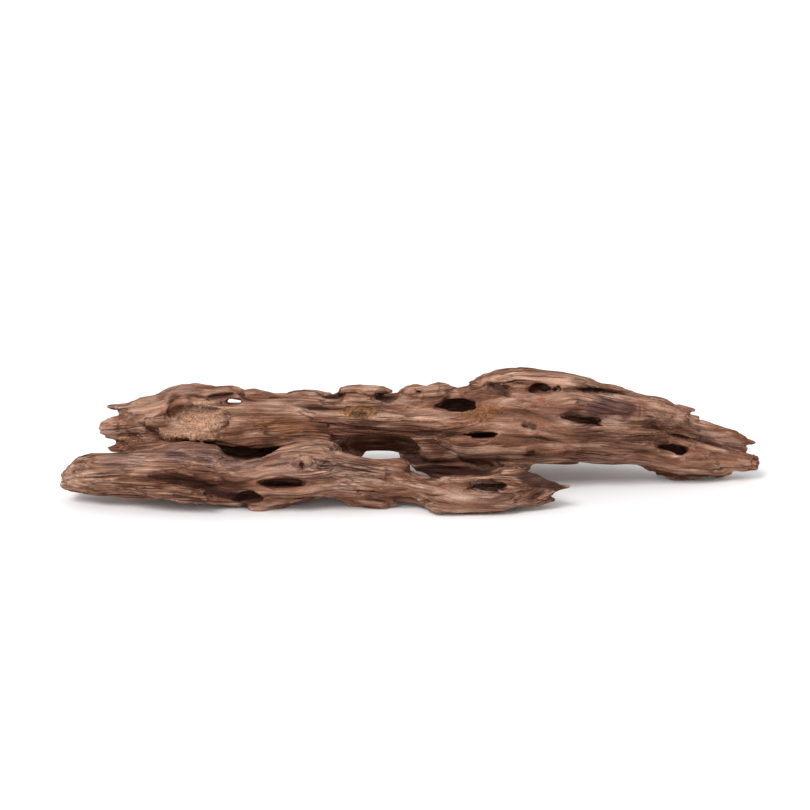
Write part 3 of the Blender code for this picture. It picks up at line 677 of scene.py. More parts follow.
class Neighbours:
    """Averages values over the points that share an edge."""

    def __init__(self, mesh: bpy.types.Mesh) -> None:
        """Reads the mesh's edges."""
        edges = rows_of(mesh.edges, "vertices", 2, np.int32)
        self.count = len(mesh.vertices)
        self.start = np.concatenate([edges[:, 0], edges[:, 1]])
        self.end = np.concatenate([edges[:, 1], edges[:, 0]])
        self.share = np.maximum(np.bincount(self.start, minlength=self.count), 1)

    def average(self, values: np.ndarray) -> np.ndarray:
        """The mean over each point's neighbours, of numbers or of vectors."""
        if values.ndim == 1:
            return np.bincount(self.start, values[self.end], self.count) / self.share
        return np.column_stack([self.average(column) for column in values.T])

    def blur(self, values: np.ndarray, rounds: int) -> np.ndarray:
        """The values averaged over and over."""
        for _ in range(rounds):
            values = 0.5 * values + 0.5 * self.average(values)
        return values

    def fair(self, places: np.ndarray, rounds: int) -> np.ndarray:
        """Takes facets off a surface without shrinking its thin ends, by steps inward and outward."""
        for _ in range(rounds):
            for amount in (0.5, -0.53):
                places = places + amount * (self.average(places) - places)
        return places


def shown_mesh(obj: bpy.types.Object) -> bpy.types.Mesh:
    """A new mesh of what the object's modifiers show, which are removed."""
    graph = bpy.context.evaluated_depsgraph_get()
    mesh = bpy.data.meshes.new_from_object(obj.evaluated_get(graph))
    obj.modifiers.clear()
    return mesh


def even_mesh(obj: bpy.types.Object, voxel: float) -> bpy.types.Mesh:
    """A new and even mesh of the object's surface, with that size of voxel in millimetres."""
    modifier = obj.modifiers.new("even", "REMESH")
    modifier.mode = "VOXEL"
    modifier.voxel_size = voxel * MM
    return shown_mesh(obj)


def count_triangles(mesh: bpy.types.Mesh) -> int:
    """How many triangles the mesh's faces make."""
    return sum(len(face.vertices) - 2 for face in mesh.polygons)


def named_attribute(maker: NodeMaker, name: str, kind: str) -> Sock:
    """A stored attribute, read in a Geometry Nodes tree."""
    return maker.add("GeometryNodeInputNamedAttribute", {"data_type": kind}, {"Name": name}, "Attribute")


def named_inputs(source: Any, *names: str) -> dict[str, float]:
    """A tree's named inputs, which are these numbers of an object."""
    return {name.replace("_", " ").title(): getattr(source, name) for name in names}


def start_tree(name: str, values: dict[str, float]) -> tuple[NodeMaker, dict[str, Sock]]:
    """Starts a Geometry Nodes tree.

    Args:
        name: the tree's name.
        values: its named inputs, which stand between its geometry and its material.

    Returns:
        The tree's maker, and its inputs by name.
    """
    tree = bpy.data.node_groups.new(name, "GeometryNodeTree")
    kinds = {label: "Int" if isinstance(value, int) else "Float" for label, value in values.items()}
    for label, kind in {"Geometry": "Geometry", **kinds, "Material": "Material"}.items():
        tree.interface.new_socket(label, in_out="INPUT", socket_type=f"NodeSocket{kind}")
    tree.interface.new_socket("Geometry", in_out="OUTPUT", socket_type="NodeSocketGeometry")
    maker = NodeMaker(tree)
    entry = maker.add("NodeGroupInput", {}, {})
    return maker, {socket.name: Sock(maker, socket) for socket in entry.socket.node.outputs}


def finish_tree(maker: NodeMaker, geometry: Sock, material: Sock) -> None:
    """Ends a tree: instances made real, the material set, and the result handed out."""
    whole = maker.add("GeometryNodeRealizeInstances", {}, {"Geometry": geometry})
    dressed = maker.add("GeometryNodeSetMaterial", {}, {"Geometry": whole, "Material": material})
    out = maker.tree.nodes.new("NodeGroupOutput")
    maker.tree.links.new(dressed.socket, out.inputs[0])


def apply_tree(
    obj: bpy.types.Object, tree: bpy.types.NodeTree, values: dict[str, float], material: bpy.types.Material
) -> None:
    """Runs a Geometry Nodes tree on the object, and makes the result its mesh."""
    modifier = obj.modifiers.new(tree.name, "NODES")
    modifier.node_group = tree
    for item in tree.interface.items_tree:
        if item.in_out == "INPUT" and item.name in values:
            modifier[item.identifier] = values[item.name]
        elif item.name == "Material":
            modifier[item.identifier] = material
    obj.data = shown_mesh(obj)


@dataclass
class Grain:
    """How the wood's grain runs through the piece."""

    pull: float = 15.0
    waver: float = 2.6
    waver_size: tuple[float, float, float] = (70.0, 30.0, 26.0)
    ripple: float = 0.7
    ripple_size: tuple[float, float, float] = (22.0, 12.0, 9.0)

    def coordinates(self, places: np.ndarray) -> np.ndarray:
        """Where each point lies in the grain.

        Args:
            places: points in metres.

        Returns:
            For each point, how far it lies along, across and into the grain, in metres.
        """
        mm = places / MM
        x, y, z = mm.T
        weights = np.zeros(len(mm))
        rise = np.zeros(len(mm))
        shift = np.zeros(len(mm))
        for points in STREAMS.values():
            line = np.array(points)
            deep = np.interp(x, line[:, 0], line[:, 1])
            high = np.interp(x, line[:, 0], line[:, 2])
            weight = 1.0 / (1.0 + ((y - deep) ** 2 + (z - high) ** 2) / self.pull**2) ** 2
            weights += weight
            rise += weight * (high - line[:, 2].mean())
            shift += weight * (deep - line[:, 1].mean())
        across = z - rise / weights
        into = y - shift / weights
        for knot in KNOTS:
            off_x = (x - knot.x) / knot.length
            off_z = (z - knot.z) / knot.height
            across -= knot.push * np.tanh(off_z) * np.exp(-(off_x**2) - 0.25 * off_z**2)
        across += self.waver * noise_at(mm, self.waver_size) + self.ripple * noise_at(mm, self.ripple_size)
        into += self.waver * noise_at(mm + 300.0, self.waver_size)
        return np.column_stack([x, across, into]) * MM


@dataclass(frozen=True)
class Fibres:
    """The sizes of the grain's long cells, in metres, shared by the relief and the colours."""

    strand_width: float = 0.0026
    strand_length: float = 0.075
    strand_seed: float = 0.31
    split_width: float = 0.0115
    split_length: float = 0.17
    split_seed: float = 0.77
    split_gap: float = 0.042
    gate_size: float = 0.026

    def gate(self, maker: NodeMaker, grain: Sock) -> Sock:
        """Where the splits stand open, 0 to 1."""
        return maker.noise(grain, Layer(2.5 * self.gate_size, self.gate_size, 1.0)).step(*GATE_STEP)


@dataclass
class GrainRelief:
    """Ridges, strands and splits raised along the grain by Geometry Nodes. Sizes are in metres."""

    fibres: Fibres = field(default_factory=Fibres)
    ridge_width: float = 0.0052
    ridge_length: float = 0.07
    ridge_depth: float = 0.0008
    strand_depth: float = 0.0003
    split_depth: float = 0.0014
    crumb_width: float = 0.0024
    crumb_depth: float = 0.0010
    seed: float = 3.7
    ridge_sharpness: float = 5.0
    ridge_gain: float = 0.9
    ridge_level: float = 0.45
    strand_gap: float = 0.3
    strand_level: float = 0.7
    split_slope: float = 1.6
    crumb_gain: float = 3.4
    crumb_tone: float = 3.0

    def _inputs(self) -> dict[str, float]:
        """The tree's named inputs and their values."""
        shared = named_inputs(self.fibres, "strand_width", "strand_length", "split_width", "split_length")
        own = ("ridge_width", "ridge_length", "ridge_depth", "strand_depth", "split_depth")
        return shared | named_inputs(self, *own, "crumb_width", "crumb_depth", "seed")

    def _noise(self, place: Sock, seed: Sock, width: Sock, **more: float) -> Sock:
        """Soft noise, from 0 to 1, whose bumps have that width."""
        return place.maker.add(
            "ShaderNodeTexNoise",
            {"noise_dimensions": "4D"},
            {"Vector": place, "W": seed, "Scale": 1.0 / width, "Detail": 2.0, **more},
        )

    def build_tree(self) -> bpy.types.NodeTree:
        """The node tree that raises the relief and stores its height for the colours."""
        maker, given = start_tree("grain_relief", self._inputs())
        grain = named_attribute(maker, "grain", "FLOAT_VECTOR")
        crumb = named_attribute(maker, "crumb", "FLOAT")
        calm = named_attribute(maker, "calm", "FLOAT")
        narrow = {"X": given["Ridge Width"] / given["Ridge Length"], "Y": 1.0, "Z": 1.0}
        drawn = maker.times(grain, maker.add("ShaderNodeCombineXYZ", {}, narrow))
        swell = self._noise(drawn, given["Seed"], given["Ridge Width"], Roughness=0.55)
        ridge = 1.0 - (swell - 0.5).distance() * self.ridge_sharpness
        strands = maker.cells(grain, given["Strand Width"], given["Strand Length"], self.fibres.strand_seed)
        strand = strands.step(0.0, self.strand_gap)
        splits = maker.cells(grain, given["Split Width"], given["Split Length"], self.fibres.split_seed)
        closed = splits.step(0.0, self.split_slope * self.fibres.split_gap)
        split = (1.0 - closed) * self.fibres.gate(maker, grain)
        place = maker.add("GeometryNodeInputPosition", {}, {})
        grit = self._noise(place, given["Seed"], given["Crumb Width"])
        smooth = (1.0 - crumb) * (1.0 - calm)
        raised = given["Ridge Depth"] * (ridge * self.ridge_gain - self.ridge_level)
        height = (
            smooth * (raised + given["Strand Depth"] * (strand - self.strand_level))
            - smooth * given["Split Depth"] * split
            + crumb * given["Crumb Depth"] * ((grit - 0.5) * self.crumb_gain)
        )
        tone = smooth * (ridge - self.ridge_level) + crumb * ((grit - 0.5) * self.crumb_tone)
        offset = maker.scaled(maker.add("GeometryNodeInputNormal", {}, {}), height)
        moved = maker.add("GeometryNodeSetPosition", {}, {"Geometry": given["Geometry"], "Offset": offset})
        stored = maker.add(
            "GeometryNodeStoreNamedAttribute",
            {"data_type": "FLOAT", "domain": "POINT"},
            {"Geometry": moved, "Name": "relief", "Value": tone},
        )
        finish_tree(maker, stored, given["Material"])
        return maker.tree

    def raise_on(self, obj: bpy.types.Object, material: bpy.types.Material) -> None:
        """Raises the relief on the object, and makes the result its mesh."""
        apply_tree(obj, self.build_tree(), self._inputs(), material)


@dataclass
class Crumbs:
    """Loose crumbs of rotted wood where the surface is crumbly, scattered by Geometry Nodes."""

    density: float = 700000.0
    smallest: float = 0.00035
    largest: float = 0.0009
    seed: int = 12

    def _inputs(self) -> dict[str, float]:
        """The tree's named inputs and their values."""
        return named_inputs(self, "density", "smallest", "largest", "seed")

    def build_tree(self) -> bpy.types.NodeTree:
        """The node tree that scatters the crumbs and joins them to the skin."""
        maker, given = start_tree("crumbs", self._inputs())
        seed = given["Seed"]
        crumb = named_attribute(maker, "crumb", "FLOAT").step(*CRUMB_STEP)
        spots = maker.add(
            "GeometryNodeDistributePointsOnFaces",
            {"distribute_method": "RANDOM"},
            {"Mesh": given["Geometry"], "Density": given["Density"] * crumb, "Seed": seed},
        )
        lump = maker.add("GeometryNodeMeshIcoSphere", {}, {"Radius": 1.0, "Subdivisions": 1})
        vectors = {"data_type": "FLOAT_VECTOR"}
        low = maker.add("ShaderNodeCombineXYZ", {}, dict.fromkeys("XYZ", given["Smallest"]))
        high = maker.add("ShaderNodeCombineXYZ", {}, dict.fromkeys("XYZ", given["Largest"]))
        size = maker.add("FunctionNodeRandomValue", vectors, {0: low, 1: high, "Seed": seed})
        full_turn = (2 * math.pi,) * 3
        turn = maker.add("FunctionNodeRandomValue", vectors, {1: full_turn, "Seed": seed + 1.0})
        placing = {"Points": spots, "Instance": lump, "Rotation": turn, "Scale": size}
        placed = maker.add("GeometryNodeInstanceOnPoints", {}, placing)
        joined = maker.add("GeometryNodeJoinGeometry", {}, {"Geometry": placed})
        maker.tree.links.new(given["Geometry"].socket, joined.socket.node.inputs["Geometry"])
        finish_tree(maker, joined, given["Material"])
        return maker.tree

    def scatter_on(self, obj: bpy.types.Object, material: bpy.types.Material) -> None:
        """Scatters the crumbs on the object, and makes the result its mesh."""
        apply_tree(obj, self.build_tree(), self._inputs(), material)


@dataclass(frozen=True)
class WeatheredWood:
    """The finish: dry brown wood with pale fibres, rotted patches, and painted shade in its hollows. Colours
    are linear.
    """

    fibres: Fibres = field(default_factory=Fibres)
    deep: Colour = (0.060, 0.022, 0.013)
    brown: Colour = (0.232, 0.102, 0.063)
    tan: Colour = (0.42, 0.236, 0.165)
    light: Colour = (0.61, 0.412, 0.316)
    straw: Colour = (0.425, 0.252, 0.168)
    orange: Colour = (0.26, 0.108, 0.050)
    olive: Colour = (0.34, 0.17, 0.08)
    # Purple-brown wood, also laid as painted shade in a few hollows.
    purple: Colour = (0.092, 0.042, 0.041)
    grey: Colour = (0.25, 0.145, 0.12)
    red: Colour = (0.27, 0.075, 0.045)
    pale: Colour = (0.47, 0.274, 0.192)
    # Near-black painted into hollows, holes and cracks as shade and shadow.
    hollow: Colour = (0.038, 0.0138, 0.011)
    # The reddish tint that painted shade multiplies the colour by.
    shade: Colour = (0.50, 0.385, 0.345)
    hair_width: float = 0.0013
    hair_length: float = 0.03
    hair_seed: float = 0.53
    check_width: float = 0.0048
    check_length: float = 0.085
    check_seed: float = 0.19
    check_gap: float = 0.075
    streaks: Layer = Layer(0.05, 0.0013, 3.0, 0.62, tone=1.2, bump=0.7)
    bands: Layer = Layer(0.10, 0.007, 2.0, tone=1.3)
    wisps: Layer = Layer(0.016, 0.0006, 2.0, 0.6, shade=1.8, bump=0.35)
    clouds: Layer = Layer(0.028, 0.028, 3.0, tone=0.7)
    specks: Layer = Layer(0.0011, 0.0011, 2.0, shade=0.7, bump=0.25)
    grit: Layer = Layer(0.0022, 0.0022, 3.0, 0.65, tone=1.0, bump=1.6)
    coarse: Layer = Layer(0.035, 0.035, 1.0)
    torn: Layer = Layer(0.03, 0.014, 1.0)
    relief_tone: float = 0.22
    relief_shade: float = 0.24
    line_shade: float = 0.38
    tint_level: float = 0.62
    tint_slope: float = 1.2
    tint_floor: float = 0.25
    tint_gain: float = 1.55
    bump_depth: float = 0.0008
    strand_gap: float = 0.17
    hair_gap: float = 0.22
    inner_gap: float = 0.3
    coarse_step: tuple[float, float] = (0.35, 0.65)
    coarse_part: float = 0.6
    crumb_part: float = 0.9
    calm_part: float = 0.6
    patch_start: tuple[float, float] = (0.02, 0.3)
    patch_edge: tuple[float, float] = (0.2, 0.75)
    cloud_fray: float = 0.5
    streak_fray: float = 0.6
    darkest: float = 0.12
    split_share: float = 0.85
    check_share: float = 0.8
    occlusion_shade: float = 0.88
    shadow_share: float = 0.9
    strand_bump: float = 0.4
    hair_bump: float = 0.3
    split_bump: float = 0.9
    check_bump: float = 0.7
    roughness: float = 0.8
    roughness_spread: float = 0.25
    specular: float = 0.08

    def material(self) -> bpy.types.Material:
        """Builds the shader."""
        material = bpy.data.materials.new("weathered_wood")
        material.use_nodes = True
        maker = NodeMaker(material.node_tree)

        def attribute(name: str, output: str = "Fac") -> Sock:
            """One of the skin's stored attributes."""
            return maker.add("ShaderNodeAttribute", {"attribute_name": name}, {}, output)

        sizes = self.fibres
        grain = attribute("grain", "Vector")
        place = maker.add("ShaderNodeTexCoord", {}, {}, "Object")
        relief = attribute("relief")
        crumb = attribute("crumb")
        coarse = maker.noise(place, self.coarse).step(*self.coarse_step)
        coarse = (1.0 - self.coarse_part) + coarse * self.coarse_part
        fibrous = (1.0 - crumb * self.crumb_part) * (1.0 - attribute("calm") * self.calm_part) * coarse
        along = (self.streaks, self.bands, self.wisps)
        streaks, bands, wisps = (maker.noise(grain, layer) for layer in along)
        loose = (self.clouds, self.specks, self.grit)
        clouds, specks, grit = (maker.noise(place, layer) for layer in loose)

        strands = maker.cells(grain, sizes.strand_width, sizes.strand_length, sizes.strand_seed)
        strand = (1.0 - strands.step(0.0, self.strand_gap)) * fibrous
        hairs = maker.cells(grain, self.hair_width, self.hair_length, self.hair_seed)
        hair = (1.0 - hairs.step(0.0, self.hair_gap)) * fibrous
        splits = maker.cells(grain, sizes.split_width, sizes.split_length, sizes.split_seed)
        split = 1.0 - splits.step(self.inner_gap * sizes.split_gap, sizes.split_gap)
        split = split * sizes.gate(maker, grain) * fibrous
        checks = maker.cells(grain, self.check_width, self.check_length, self.check_seed)
        torn = maker.noise(place, self.torn).step(*GATE_STEP)
        check = (1.0 - checks.step(self.inner_gap * self.check_gap, self.check_gap)) * torn * fibrous

        tone = (
            0.5
            + (streaks - 0.5) * fibrous * self.streaks.tone
            + (bands - 0.5) * self.bands.tone
            + (clouds - 0.5) * self.clouds.tone
            + relief * self.relief_tone
            + (grit - 0.5) * crumb * self.grit.tone
        )
        stops = ((0.05, self.deep), (0.45, self.brown), (0.72, self.tan), (1.0, self.light))
        colour = maker.add("ShaderNodeValToRGB", {"stops": stops}, {"Fac": tone})
        lean = (self.tint_level + (tone - 0.5) * self.tint_slope).most(self.tint_floor) * self.tint_gain
        for name, tint, share in (
            ("grey", self.grey, 0.7),
            ("purple", self.purple, 0.8),
            ("orange", self.orange, 0.8),
            ("olive", self.olive, 0.8),
            ("red", self.red, 0.75),
            ("pale", self.pale, 0.75),
            ("straw", self.straw, 0.9),
        ):
            here = attribute(name)
            frayed = here + (clouds - 0.5) * self.cloud_fray + (streaks - 0.5) * self.streak_fray
            cover = here.step(*self.patch_start) * frayed.step(*self.patch_edge) * share
            colour = maker.mix(cover, colour, maker.scaled(tint, lean))
        worn = 1.0 - strand * self.line_shade - hair * self.line_shade
        mottled = (wisps - 0.5) * self.wisps.shade * fibrous + (specks - 0.5) * self.specks.shade
        shade = worn * (1.0 + mottled + relief * self.relief_shade)
        shaded = maker.scaled(colour, shade.most(self.darkest))
        # Painted shade: the shade patches multiply the colour by a reddish tint.
        shaded = maker.mix(attribute("shade"), shaded, self.shade, "MULTIPLY")
        colour = maker.mix((split * self.split_share).most(check * self.check_share), shaded, self.deep)
        # Painted shade and shadow: towards near-black where the surface sees little sky, and in the shadow
        # patches and marks.
        colour = maker.mix(attribute("occlusion") * self.occlusion_shade, colour, self.hollow)
        colour = maker.mix(attribute("painted_shadow") * self.shadow_share, colour, self.hollow)

        bumps = streaks * self.streaks.bump + wisps * self.wisps.bump + specks * self.specks.bump
        bumps = bumps + grit * crumb * self.grit.bump - strand * self.strand_bump - hair * self.hair_bump
        bumps = bumps - split * self.split_bump - check * self.check_bump
        heights = {"Strength": 1.0, "Distance": self.bump_depth, "Height": bumps}
        bump = maker.add("ShaderNodeBump", {}, heights, "Normal")
        rough = self.roughness + (wisps - 0.5) * self.roughness_spread
        shader = maker.add(
            "ShaderNodeBsdfPrincipled",
            {},
            {
                "Base Color": colour,
                "Roughness": rough,
                "Normal": bump,
                "Specular IOR Level": self.specular,
            },
        )
        out = material.node_tree.nodes.new("ShaderNodeOutputMaterial")
        material.node_tree.links.new(shader.socket, out.inputs["Surface"])
        return material


@dataclass
class Skin:
    """The piece's surface: a fine skin over the solid, with its grain, marks and patches."""

    solid: bpy.types.Object
    view: PhotoView
    grain: Grain = field(default_factory=Grain)
    relief: GrainRelief = field(default_factory=GrainRelief)
    crumbs: Crumbs = field(default_factory=Crumbs)
    shard_sides: int = 12
    voxel: float = 0.85
    fairing: int = 12
    triangles: int = 172000
    probe_voxel: float = 2.4
    probe_rays: int = 28
    probe_reach: float = 45.0
    probe_lift: float = 0.4
    probe_lean: float = 0.1
    probe_count: int = 3
    probe_softness: float = 2e-4
    weld: float = 1e-6
    occlusion_step: tuple[float, float] = (0.42, 0.86)
    occlusion_rounds: int = 3
    hollow_calm: float = 0.6
    hollow_calm_step: tuple[float, float] = (0.3, 0.9)
    mark_taper: float = 0.4
    slot_flatness: float = 2.2
    # How the painted shadow grows from a mark's edge towards its middle.
    shadow_gain: float = 1.3
    shadow_start: float = 0.15
    facing_step: tuple[float, float] = (-0.35, 0.15)
    patch_end: float = 1.15
    patch_edge: tuple[float, float] = (0.42, 0.55)
    shadow_edge: tuple[float, float] = (0.12, 0.8)
    reach_start: float = 0.6
    fray_size: tuple[float, float, float] = (22.0, 4.5, 6.0)
    fine_fray: float = 0.7
    fine_fray_size: tuple[float, float, float] = (9.0, 1.8, 2.4)

    def build(self, material: bpy.types.Material) -> bpy.types.Object:
        """Makes the dressed piece.

        Args:
            material: its finish.

        Returns:
            The piece, with its place in its mesh.
        """
        obj = self._copy_of_solid()
        self._add_tips(obj)
        probe = even_mesh(obj, self.probe_voxel)
        obj.data = mesh = even_mesh(obj, self.voxel)
        self._drop_loose(mesh)
        around = Neighbours(mesh)
        places = around.fair(points_of(mesh), self.fairing)
        set_points(mesh, places)
        tree = tree_of(mesh, places)
        moved, painted_shadow = self._cut_marks(mesh, tree)
        set_points(mesh, moved)
        # How little sky each point sees; the colours turn it into painted shade.
        occlusion = around.blur(self._occlusion(probe, moved), self.occlusion_rounds)
        store(mesh, "occlusion", occlusion)
        grain = self.grain.coordinates(moved)
        store(mesh, "grain", grain)
        patches = self._patches(moved, normals_of(mesh), grain, tree)
        # Painted shadow: the shadow inside the marks joins that of the patches.
        patches[Patch.DARK] = np.maximum(patches[Patch.DARK], painted_shadow)
        inner_calm = self.hollow_calm * smooth_step(occlusion, *self.hollow_calm_step)
        patches[Patch.CALM] = np.maximum(patches[Patch.CALM], inner_calm)
        for patch, values in patches.items():
            store(mesh, patch.value, values)
        self.relief.raise_on(obj, material)
        self._thin(obj)
        self.crumbs.scatter_on(obj, material)
        grounded = points_of(obj.data)
        grounded[:, 2] = np.maximum(grounded[:, 2], 0.0)
        set_points(obj.data, grounded)
        obj.data.shade_smooth()
        return obj

    def _copy_of_solid(self) -> bpy.types.Object:
        """A copy of the solid with its loose triangles merged."""
        bm = bmesh.new()
        bm.from_mesh(self.solid.data)
        bmesh.ops.remove_doubles(bm, verts=bm.verts, dist=self.weld)
        mesh = bpy.data.meshes.new("driftwood_skin")
        bm.to_mesh(mesh)
        bm.free()
        obj = bpy.data.objects.new("driftwood_skin", mesh)
        bpy.context.scene.collection.objects.link(obj)
        return obj

    def _add_tips(self, obj: bpy.types.Object) -> None:
        """Adds the thin tips and struts, which overlap the copy until the fine skin fuses them."""
        bm = bmesh.new()
        bm.from_mesh(obj.data)
        tree = BVHTree.FromBMesh(bm)
        lines = [np.array(stations, float) for stations in SHARDS.values()]
        for strut in STRUTS:
            ends = [self.view.hit(tree, pixel) for pixel in (strut.first, strut.last)]
            if any(end is None for end in ends):
                LOG.warning("a strut at %s meets no surface", strut.first)
                continue
            size = (strut.width, strut.width)
            inward = self.view.forward * strut.width
            lines.append(np.array([(*(end / MM + inward), *size) for end in ends]))
        for line in lines:
            self._loft(bm, line)
        bm.to_mesh(obj.data)
        bm.free()

    def _loft(self, bm: bmesh.types.BMesh, line: np.ndarray) -> None:
        """Adds one closed tube through the stations of a line, in millimetres."""
        turns = np.linspace(0.0, 2 * math.pi, self.shard_sides, endpoint=False)
        ways = np.gradient(line[:, :3], axis=0)
        rings = []
        for station, way in zip(line, ways / np.linalg.norm(ways, axis=1)[:, None]):
            side = np.cross(way, (0.0, 0.0, 1.0) if abs(way[2]) < 0.8 else (0.0, 1.0, 0.0))
            side /= np.linalg.norm(side)
            rise = np.cross(side, way)
            ring = [
                station[:3] + station[4] * math.cos(turn) * side + station[3] * math.sin(turn) * rise
                for turn in turns
            ]
            rings.append([bm.verts.new(Vector(place) * MM) for place in ring])
        faces = [bm.faces.new(rings[0]), bm.faces.new(reversed(rings[-1]))]
        for ring, following in zip(rings, rings[1:]):
            for near in range(self.shard_sides):
                far = (near + 1) % self.shard_sides
                faces.append(bm.faces.new((ring[far], ring[near], following[near], following[far])))
        bmesh.ops.recalc_face_normals(bm, faces=faces)

    def _drop_loose(self, mesh: bpy.types.Mesh) -> None:
        """Leaves only the one whole piece, without the loose bits and bubbles beside or inside it."""
        bm = bmesh.new()
        bm.from_mesh(mesh)
        left = set(bm.verts)
        islands = []
        while left:
            island = [left.pop()]
            for vert in island:
                near = [edge.other_vert(vert) for edge in vert.link_edges]
                fresh = [other for other in near if other in left]
                left.difference_update(fresh)
                island.extend(fresh)
            islands.append(island)
        islands.sort(key=len)
        loose = [vert for island in islands[:-1] for vert in island]
        bmesh.ops.delete(bm, geom=loose, context="VERTS")
        bm.to_mesh(mesh)
        bm.free()

    def _cut_marks(self, mesh: bpy.types.Mesh, tree: BVHTree) -> tuple[np.ndarray, np.ndarray]:
        """Cuts or raises each mark where its pixels meet the skin.

        Args:
            mesh: the fine skin.
            tree: the same skin, to cast rays on.

        Returns:
            The moved points, and how much shadow is painted on each.
        """
        places = points_of(mesh)
        normals = normals_of(mesh)
        painted_shadow = np.zeros(len(places))
        move = np.zeros(len(places))
        for mark in MARKS:
            spine = self._spine(mark.path, tree)
            if len(spine) < 2:
                LOG.warning("a mark at %s meets no surface", mark.path[0])
                continue
            width = mark.width * MM
            low, high = spine.min(axis=0) - width, spine.max(axis=0) + width
            near = np.flatnonzero(((places > low) & (places < high)).all(axis=1))
            if not len(near):
                continue
            gaps = np.linalg.norm(places[near, None, :] - spine[None, :, :], axis=2)
            nearest = gaps.argmin(axis=1)
            ends = np.sin(np.pi * (nearest + 0.5) / len(spine)) ** self.mark_taper
            inside = np.clip(1.0 - gaps[np.arange(len(near)), nearest] / (width * ends), 0.0, 1.0)
            if mark.kind is MarkKind.SLOT:
                inside = np.minimum(self.slot_flatness * inside, 1.0)
            if mark.kind is not MarkKind.CRACK:
                inside = smooth_step(inside, 0.0, 1.0)
            sign = 1.0 if mark.kind is MarkKind.RIDGE else -1.0
            move[near] += sign * mark.depth * MM * inside * ends
            # Painted shadow inside cracks, slots and hollows, as strong as the mark's own share; ridges get
            # none.
            if mark.kind is not MarkKind.RIDGE:
                shadowed = np.clip(inside * self.shadow_gain - self.shadow_start, 0.0, 1.0)
                painted_shadow[near] = np.maximum(painted_shadow[near], mark.painted_shadow * shadowed)
        return places + normals * move[:, None], painted_shadow

    def _spine(self, path: Iterable[Pixel], tree: BVHTree) -> np.ndarray:
        """The points of the skin under a path of pixels, about every half pixel."""
        corners = np.array(list(path), float)
        steps = np.linalg.norm(np.diff(corners, axis=0), axis=1)
        at = np.concatenate([[0.0], np.cumsum(steps)])
        wanted = np.arange(0.0, at[-1] + 0.25, 0.5)
        pixels = np.column_stack([np.interp(wanted, at, corners[:, k]) for k in (0, 1)])
        found = [self.view.hit(tree, tuple(pixel)) for pixel in pixels]
        return np.array([place for place in found if place is not None])

    def _patches(
        self, places: np.ndarray, normals: np.ndarray, grain: np.ndarray, tree: BVHTree
    ) -> dict[Patch, np.ndarray]:
        """How much of each kind of wood, and of painted shade and shadow, shows at each point, with edges
        frayed along the grain.
        """
        result = {patch: np.zeros(len(places)) for patch in Patch}
        pixels, depth = self.view.project(places)
        facing = smooth_step(-(normals @ self.view.forward), *self.facing_step)
        frayed = noise_at(grain / MM, self.fray_size)
        frayed = frayed + self.fine_fray * noise_at(grain / MM, self.fine_fray_size)
        for zone in ZONES:
            centre = self.view.hit(tree, zone.centre)
            if centre is None:
                LOG.warning("a patch at %s meets no surface", zone.centre)
                continue
            off = pixels - np.array(zone.centre)
            turn = math.radians(zone.tilt)
            along = off[:, 0] * math.cos(turn) + off[:, 1] * math.sin(turn)
            across = off[:, 1] * math.cos(turn) - off[:, 0] * math.sin(turn)
            fray, soft = self.shadow_edge if zone.patch is Patch.DARK else self.patch_edge
            distance = np.hypot(along / zone.radii[0], across / zone.radii[1]) + fray * frayed
            here = 1.0 - smooth_step(distance, soft, self.patch_end)
            middle = float((centre - self.view.position) @ self.view.forward)
            reach = zone.reach * MM
            near = 1.0 - smooth_step(np.abs(depth - middle), reach * self.reach_start, reach)
            amount = zone.strength * here * near * facing
            result[zone.patch] = np.maximum(result[zone.patch], amount)
        return result

    def _occlusion(self, probe: bpy.types.Mesh, places: np.ndarray) -> np.ndarray:
        """How deep in a hollow each point lies: 0 in the open and 1 where little sky is seen."""
        spots = points_of(probe)
        facing = normals_of(probe)
        tree = tree_of(probe, spots)
        golden = math.pi * (3.0 - math.sqrt(5.0))
        turns = np.arange(self.probe_rays)
        heights = 1.0 - (turns + 0.5) / self.probe_rays * 2.0
        around = np.sqrt(1.0 - heights**2)
        sphere = np.column_stack([around * np.cos(golden * turns), around * np.sin(golden * turns), heights])
        reach = self.probe_reach * MM
        closed = np.zeros(len(spots))
        for index, (spot, face) in enumerate(zip(spots, facing)):
            start = Vector(spot + face * self.probe_lift * MM)
            lean = sphere @ face
            blocked = total = 0.0
            upper = lean > self.probe_lean
            for way, share in zip(sphere[upper], lean[upper]):
                distance = tree.ray_cast(start, Vector(way), reach)[3]
                total += share
                if distance is not None:
                    blocked += share * (1.0 - distance / reach) ** 0.5
            closed[index] = blocked / total
        nearest = KDTree(len(spots))
        for index, spot in enumerate(spots):
            nearest.insert(Vector(spot), index)
        nearest.balance()
        amounts = np.empty(len(places))
        for index, place in enumerate(places):
            found = nearest.find_n(Vector(place), self.probe_count)
            pulls = [1.0 / (distance + self.probe_softness) for _, _, distance in found]
            amounts[index] = sum(p * closed[k] for p, (_, k, _) in zip(pulls, found)) / sum(pulls)
        return smooth_step(amounts, *self.occlusion_step)

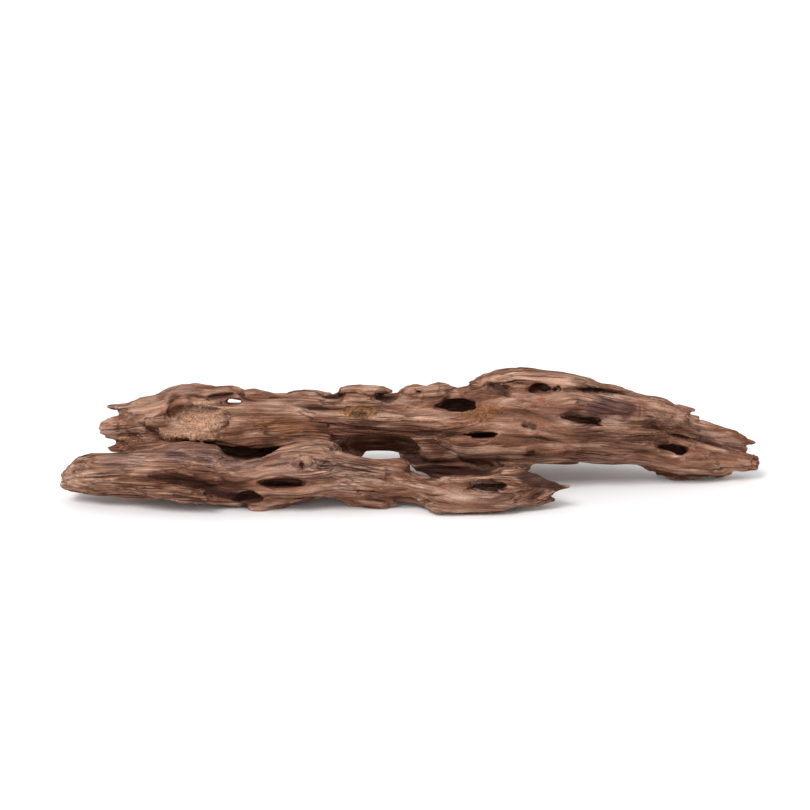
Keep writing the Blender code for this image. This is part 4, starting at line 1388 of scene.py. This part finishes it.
    def _thin(self, obj: bpy.types.Object) -> None:
        """Leaves the piece under its count of triangles, closest together where it bends most."""
        count = count_triangles(obj.data)
        if count <= self.triangles:
            return
        modifier = obj.modifiers.new("thin", "DECIMATE")
        modifier.ratio = self.triangles / count
        obj.data = shown_mesh(obj)


@dataclass
class Studio:
    """The pale floor and the soft light, which comes from the upper left and a little from the front."""

    floor_size: float = 30.0
    floor_colour: Colour = (0.96, 0.96, 0.96)
    sky: float = 0.8
    key_power: float = 1.9
    key_softness: float = math.radians(28.0)
    key_from: Point = (-0.6, -0.75, 1.1)

    def build(self) -> bpy.types.Object:
        """Adds the floor, the light and the pale surroundings, and returns the floor."""
        world = bpy.data.worlds.new("studio")
        world.use_nodes = True
        ground = world.node_tree.nodes["Background"]
        ground.inputs["Color"].default_value = (1.0, 1.0, 1.0, 1.0)
        ground.inputs["Strength"].default_value = self.sky
        bpy.context.scene.world = world
        mesh = bpy.data.meshes.new("floor")
        half = self.floor_size / 2
        corners = [(-half, -half, 0), (half, -half, 0), (half, half, 0), (-half, half, 0)]
        mesh.from_pydata(corners, [], [(0, 1, 2, 3)])
        floor = bpy.data.objects.new("floor", mesh)
        bpy.context.scene.collection.objects.link(floor)
        material = bpy.data.materials.new("pale_floor")
        material.use_nodes = True
        shader = material.node_tree.nodes["Principled BSDF"]
        shader.inputs["Base Color"].default_value = (*self.floor_colour, 1.0)
        shader.inputs["Roughness"].default_value = 0.9
        mesh.materials.append(material)
        data = bpy.data.lights.new("key", "SUN")
        data.energy = self.key_power
        data.angle = self.key_softness
        light = bpy.data.objects.new("key", data)
        light.rotation_euler = Vector(self.key_from).to_track_quat("Z", "Y").to_euler()
        bpy.context.scene.collection.objects.link(light)
        return floor


def main() -> None:
    """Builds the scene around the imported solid."""
    logging.basicConfig(level=logging.INFO, format="%(message)s")
    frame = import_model()
    view = PhotoView()
    view.make_camera()
    bpy.context.scene.view_settings.view_transform = "Standard"
    floor = Studio().build()
    wood = WeatheredWood().material()
    skin = Skin(frame["nodes"][NODE], view).build(wood)
    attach(skin, BODY)
    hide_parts(NODE)
    LOG.info("%s: %d triangles", skin.name, count_triangles(skin.data))


if __name__ == "__main__":
    main()
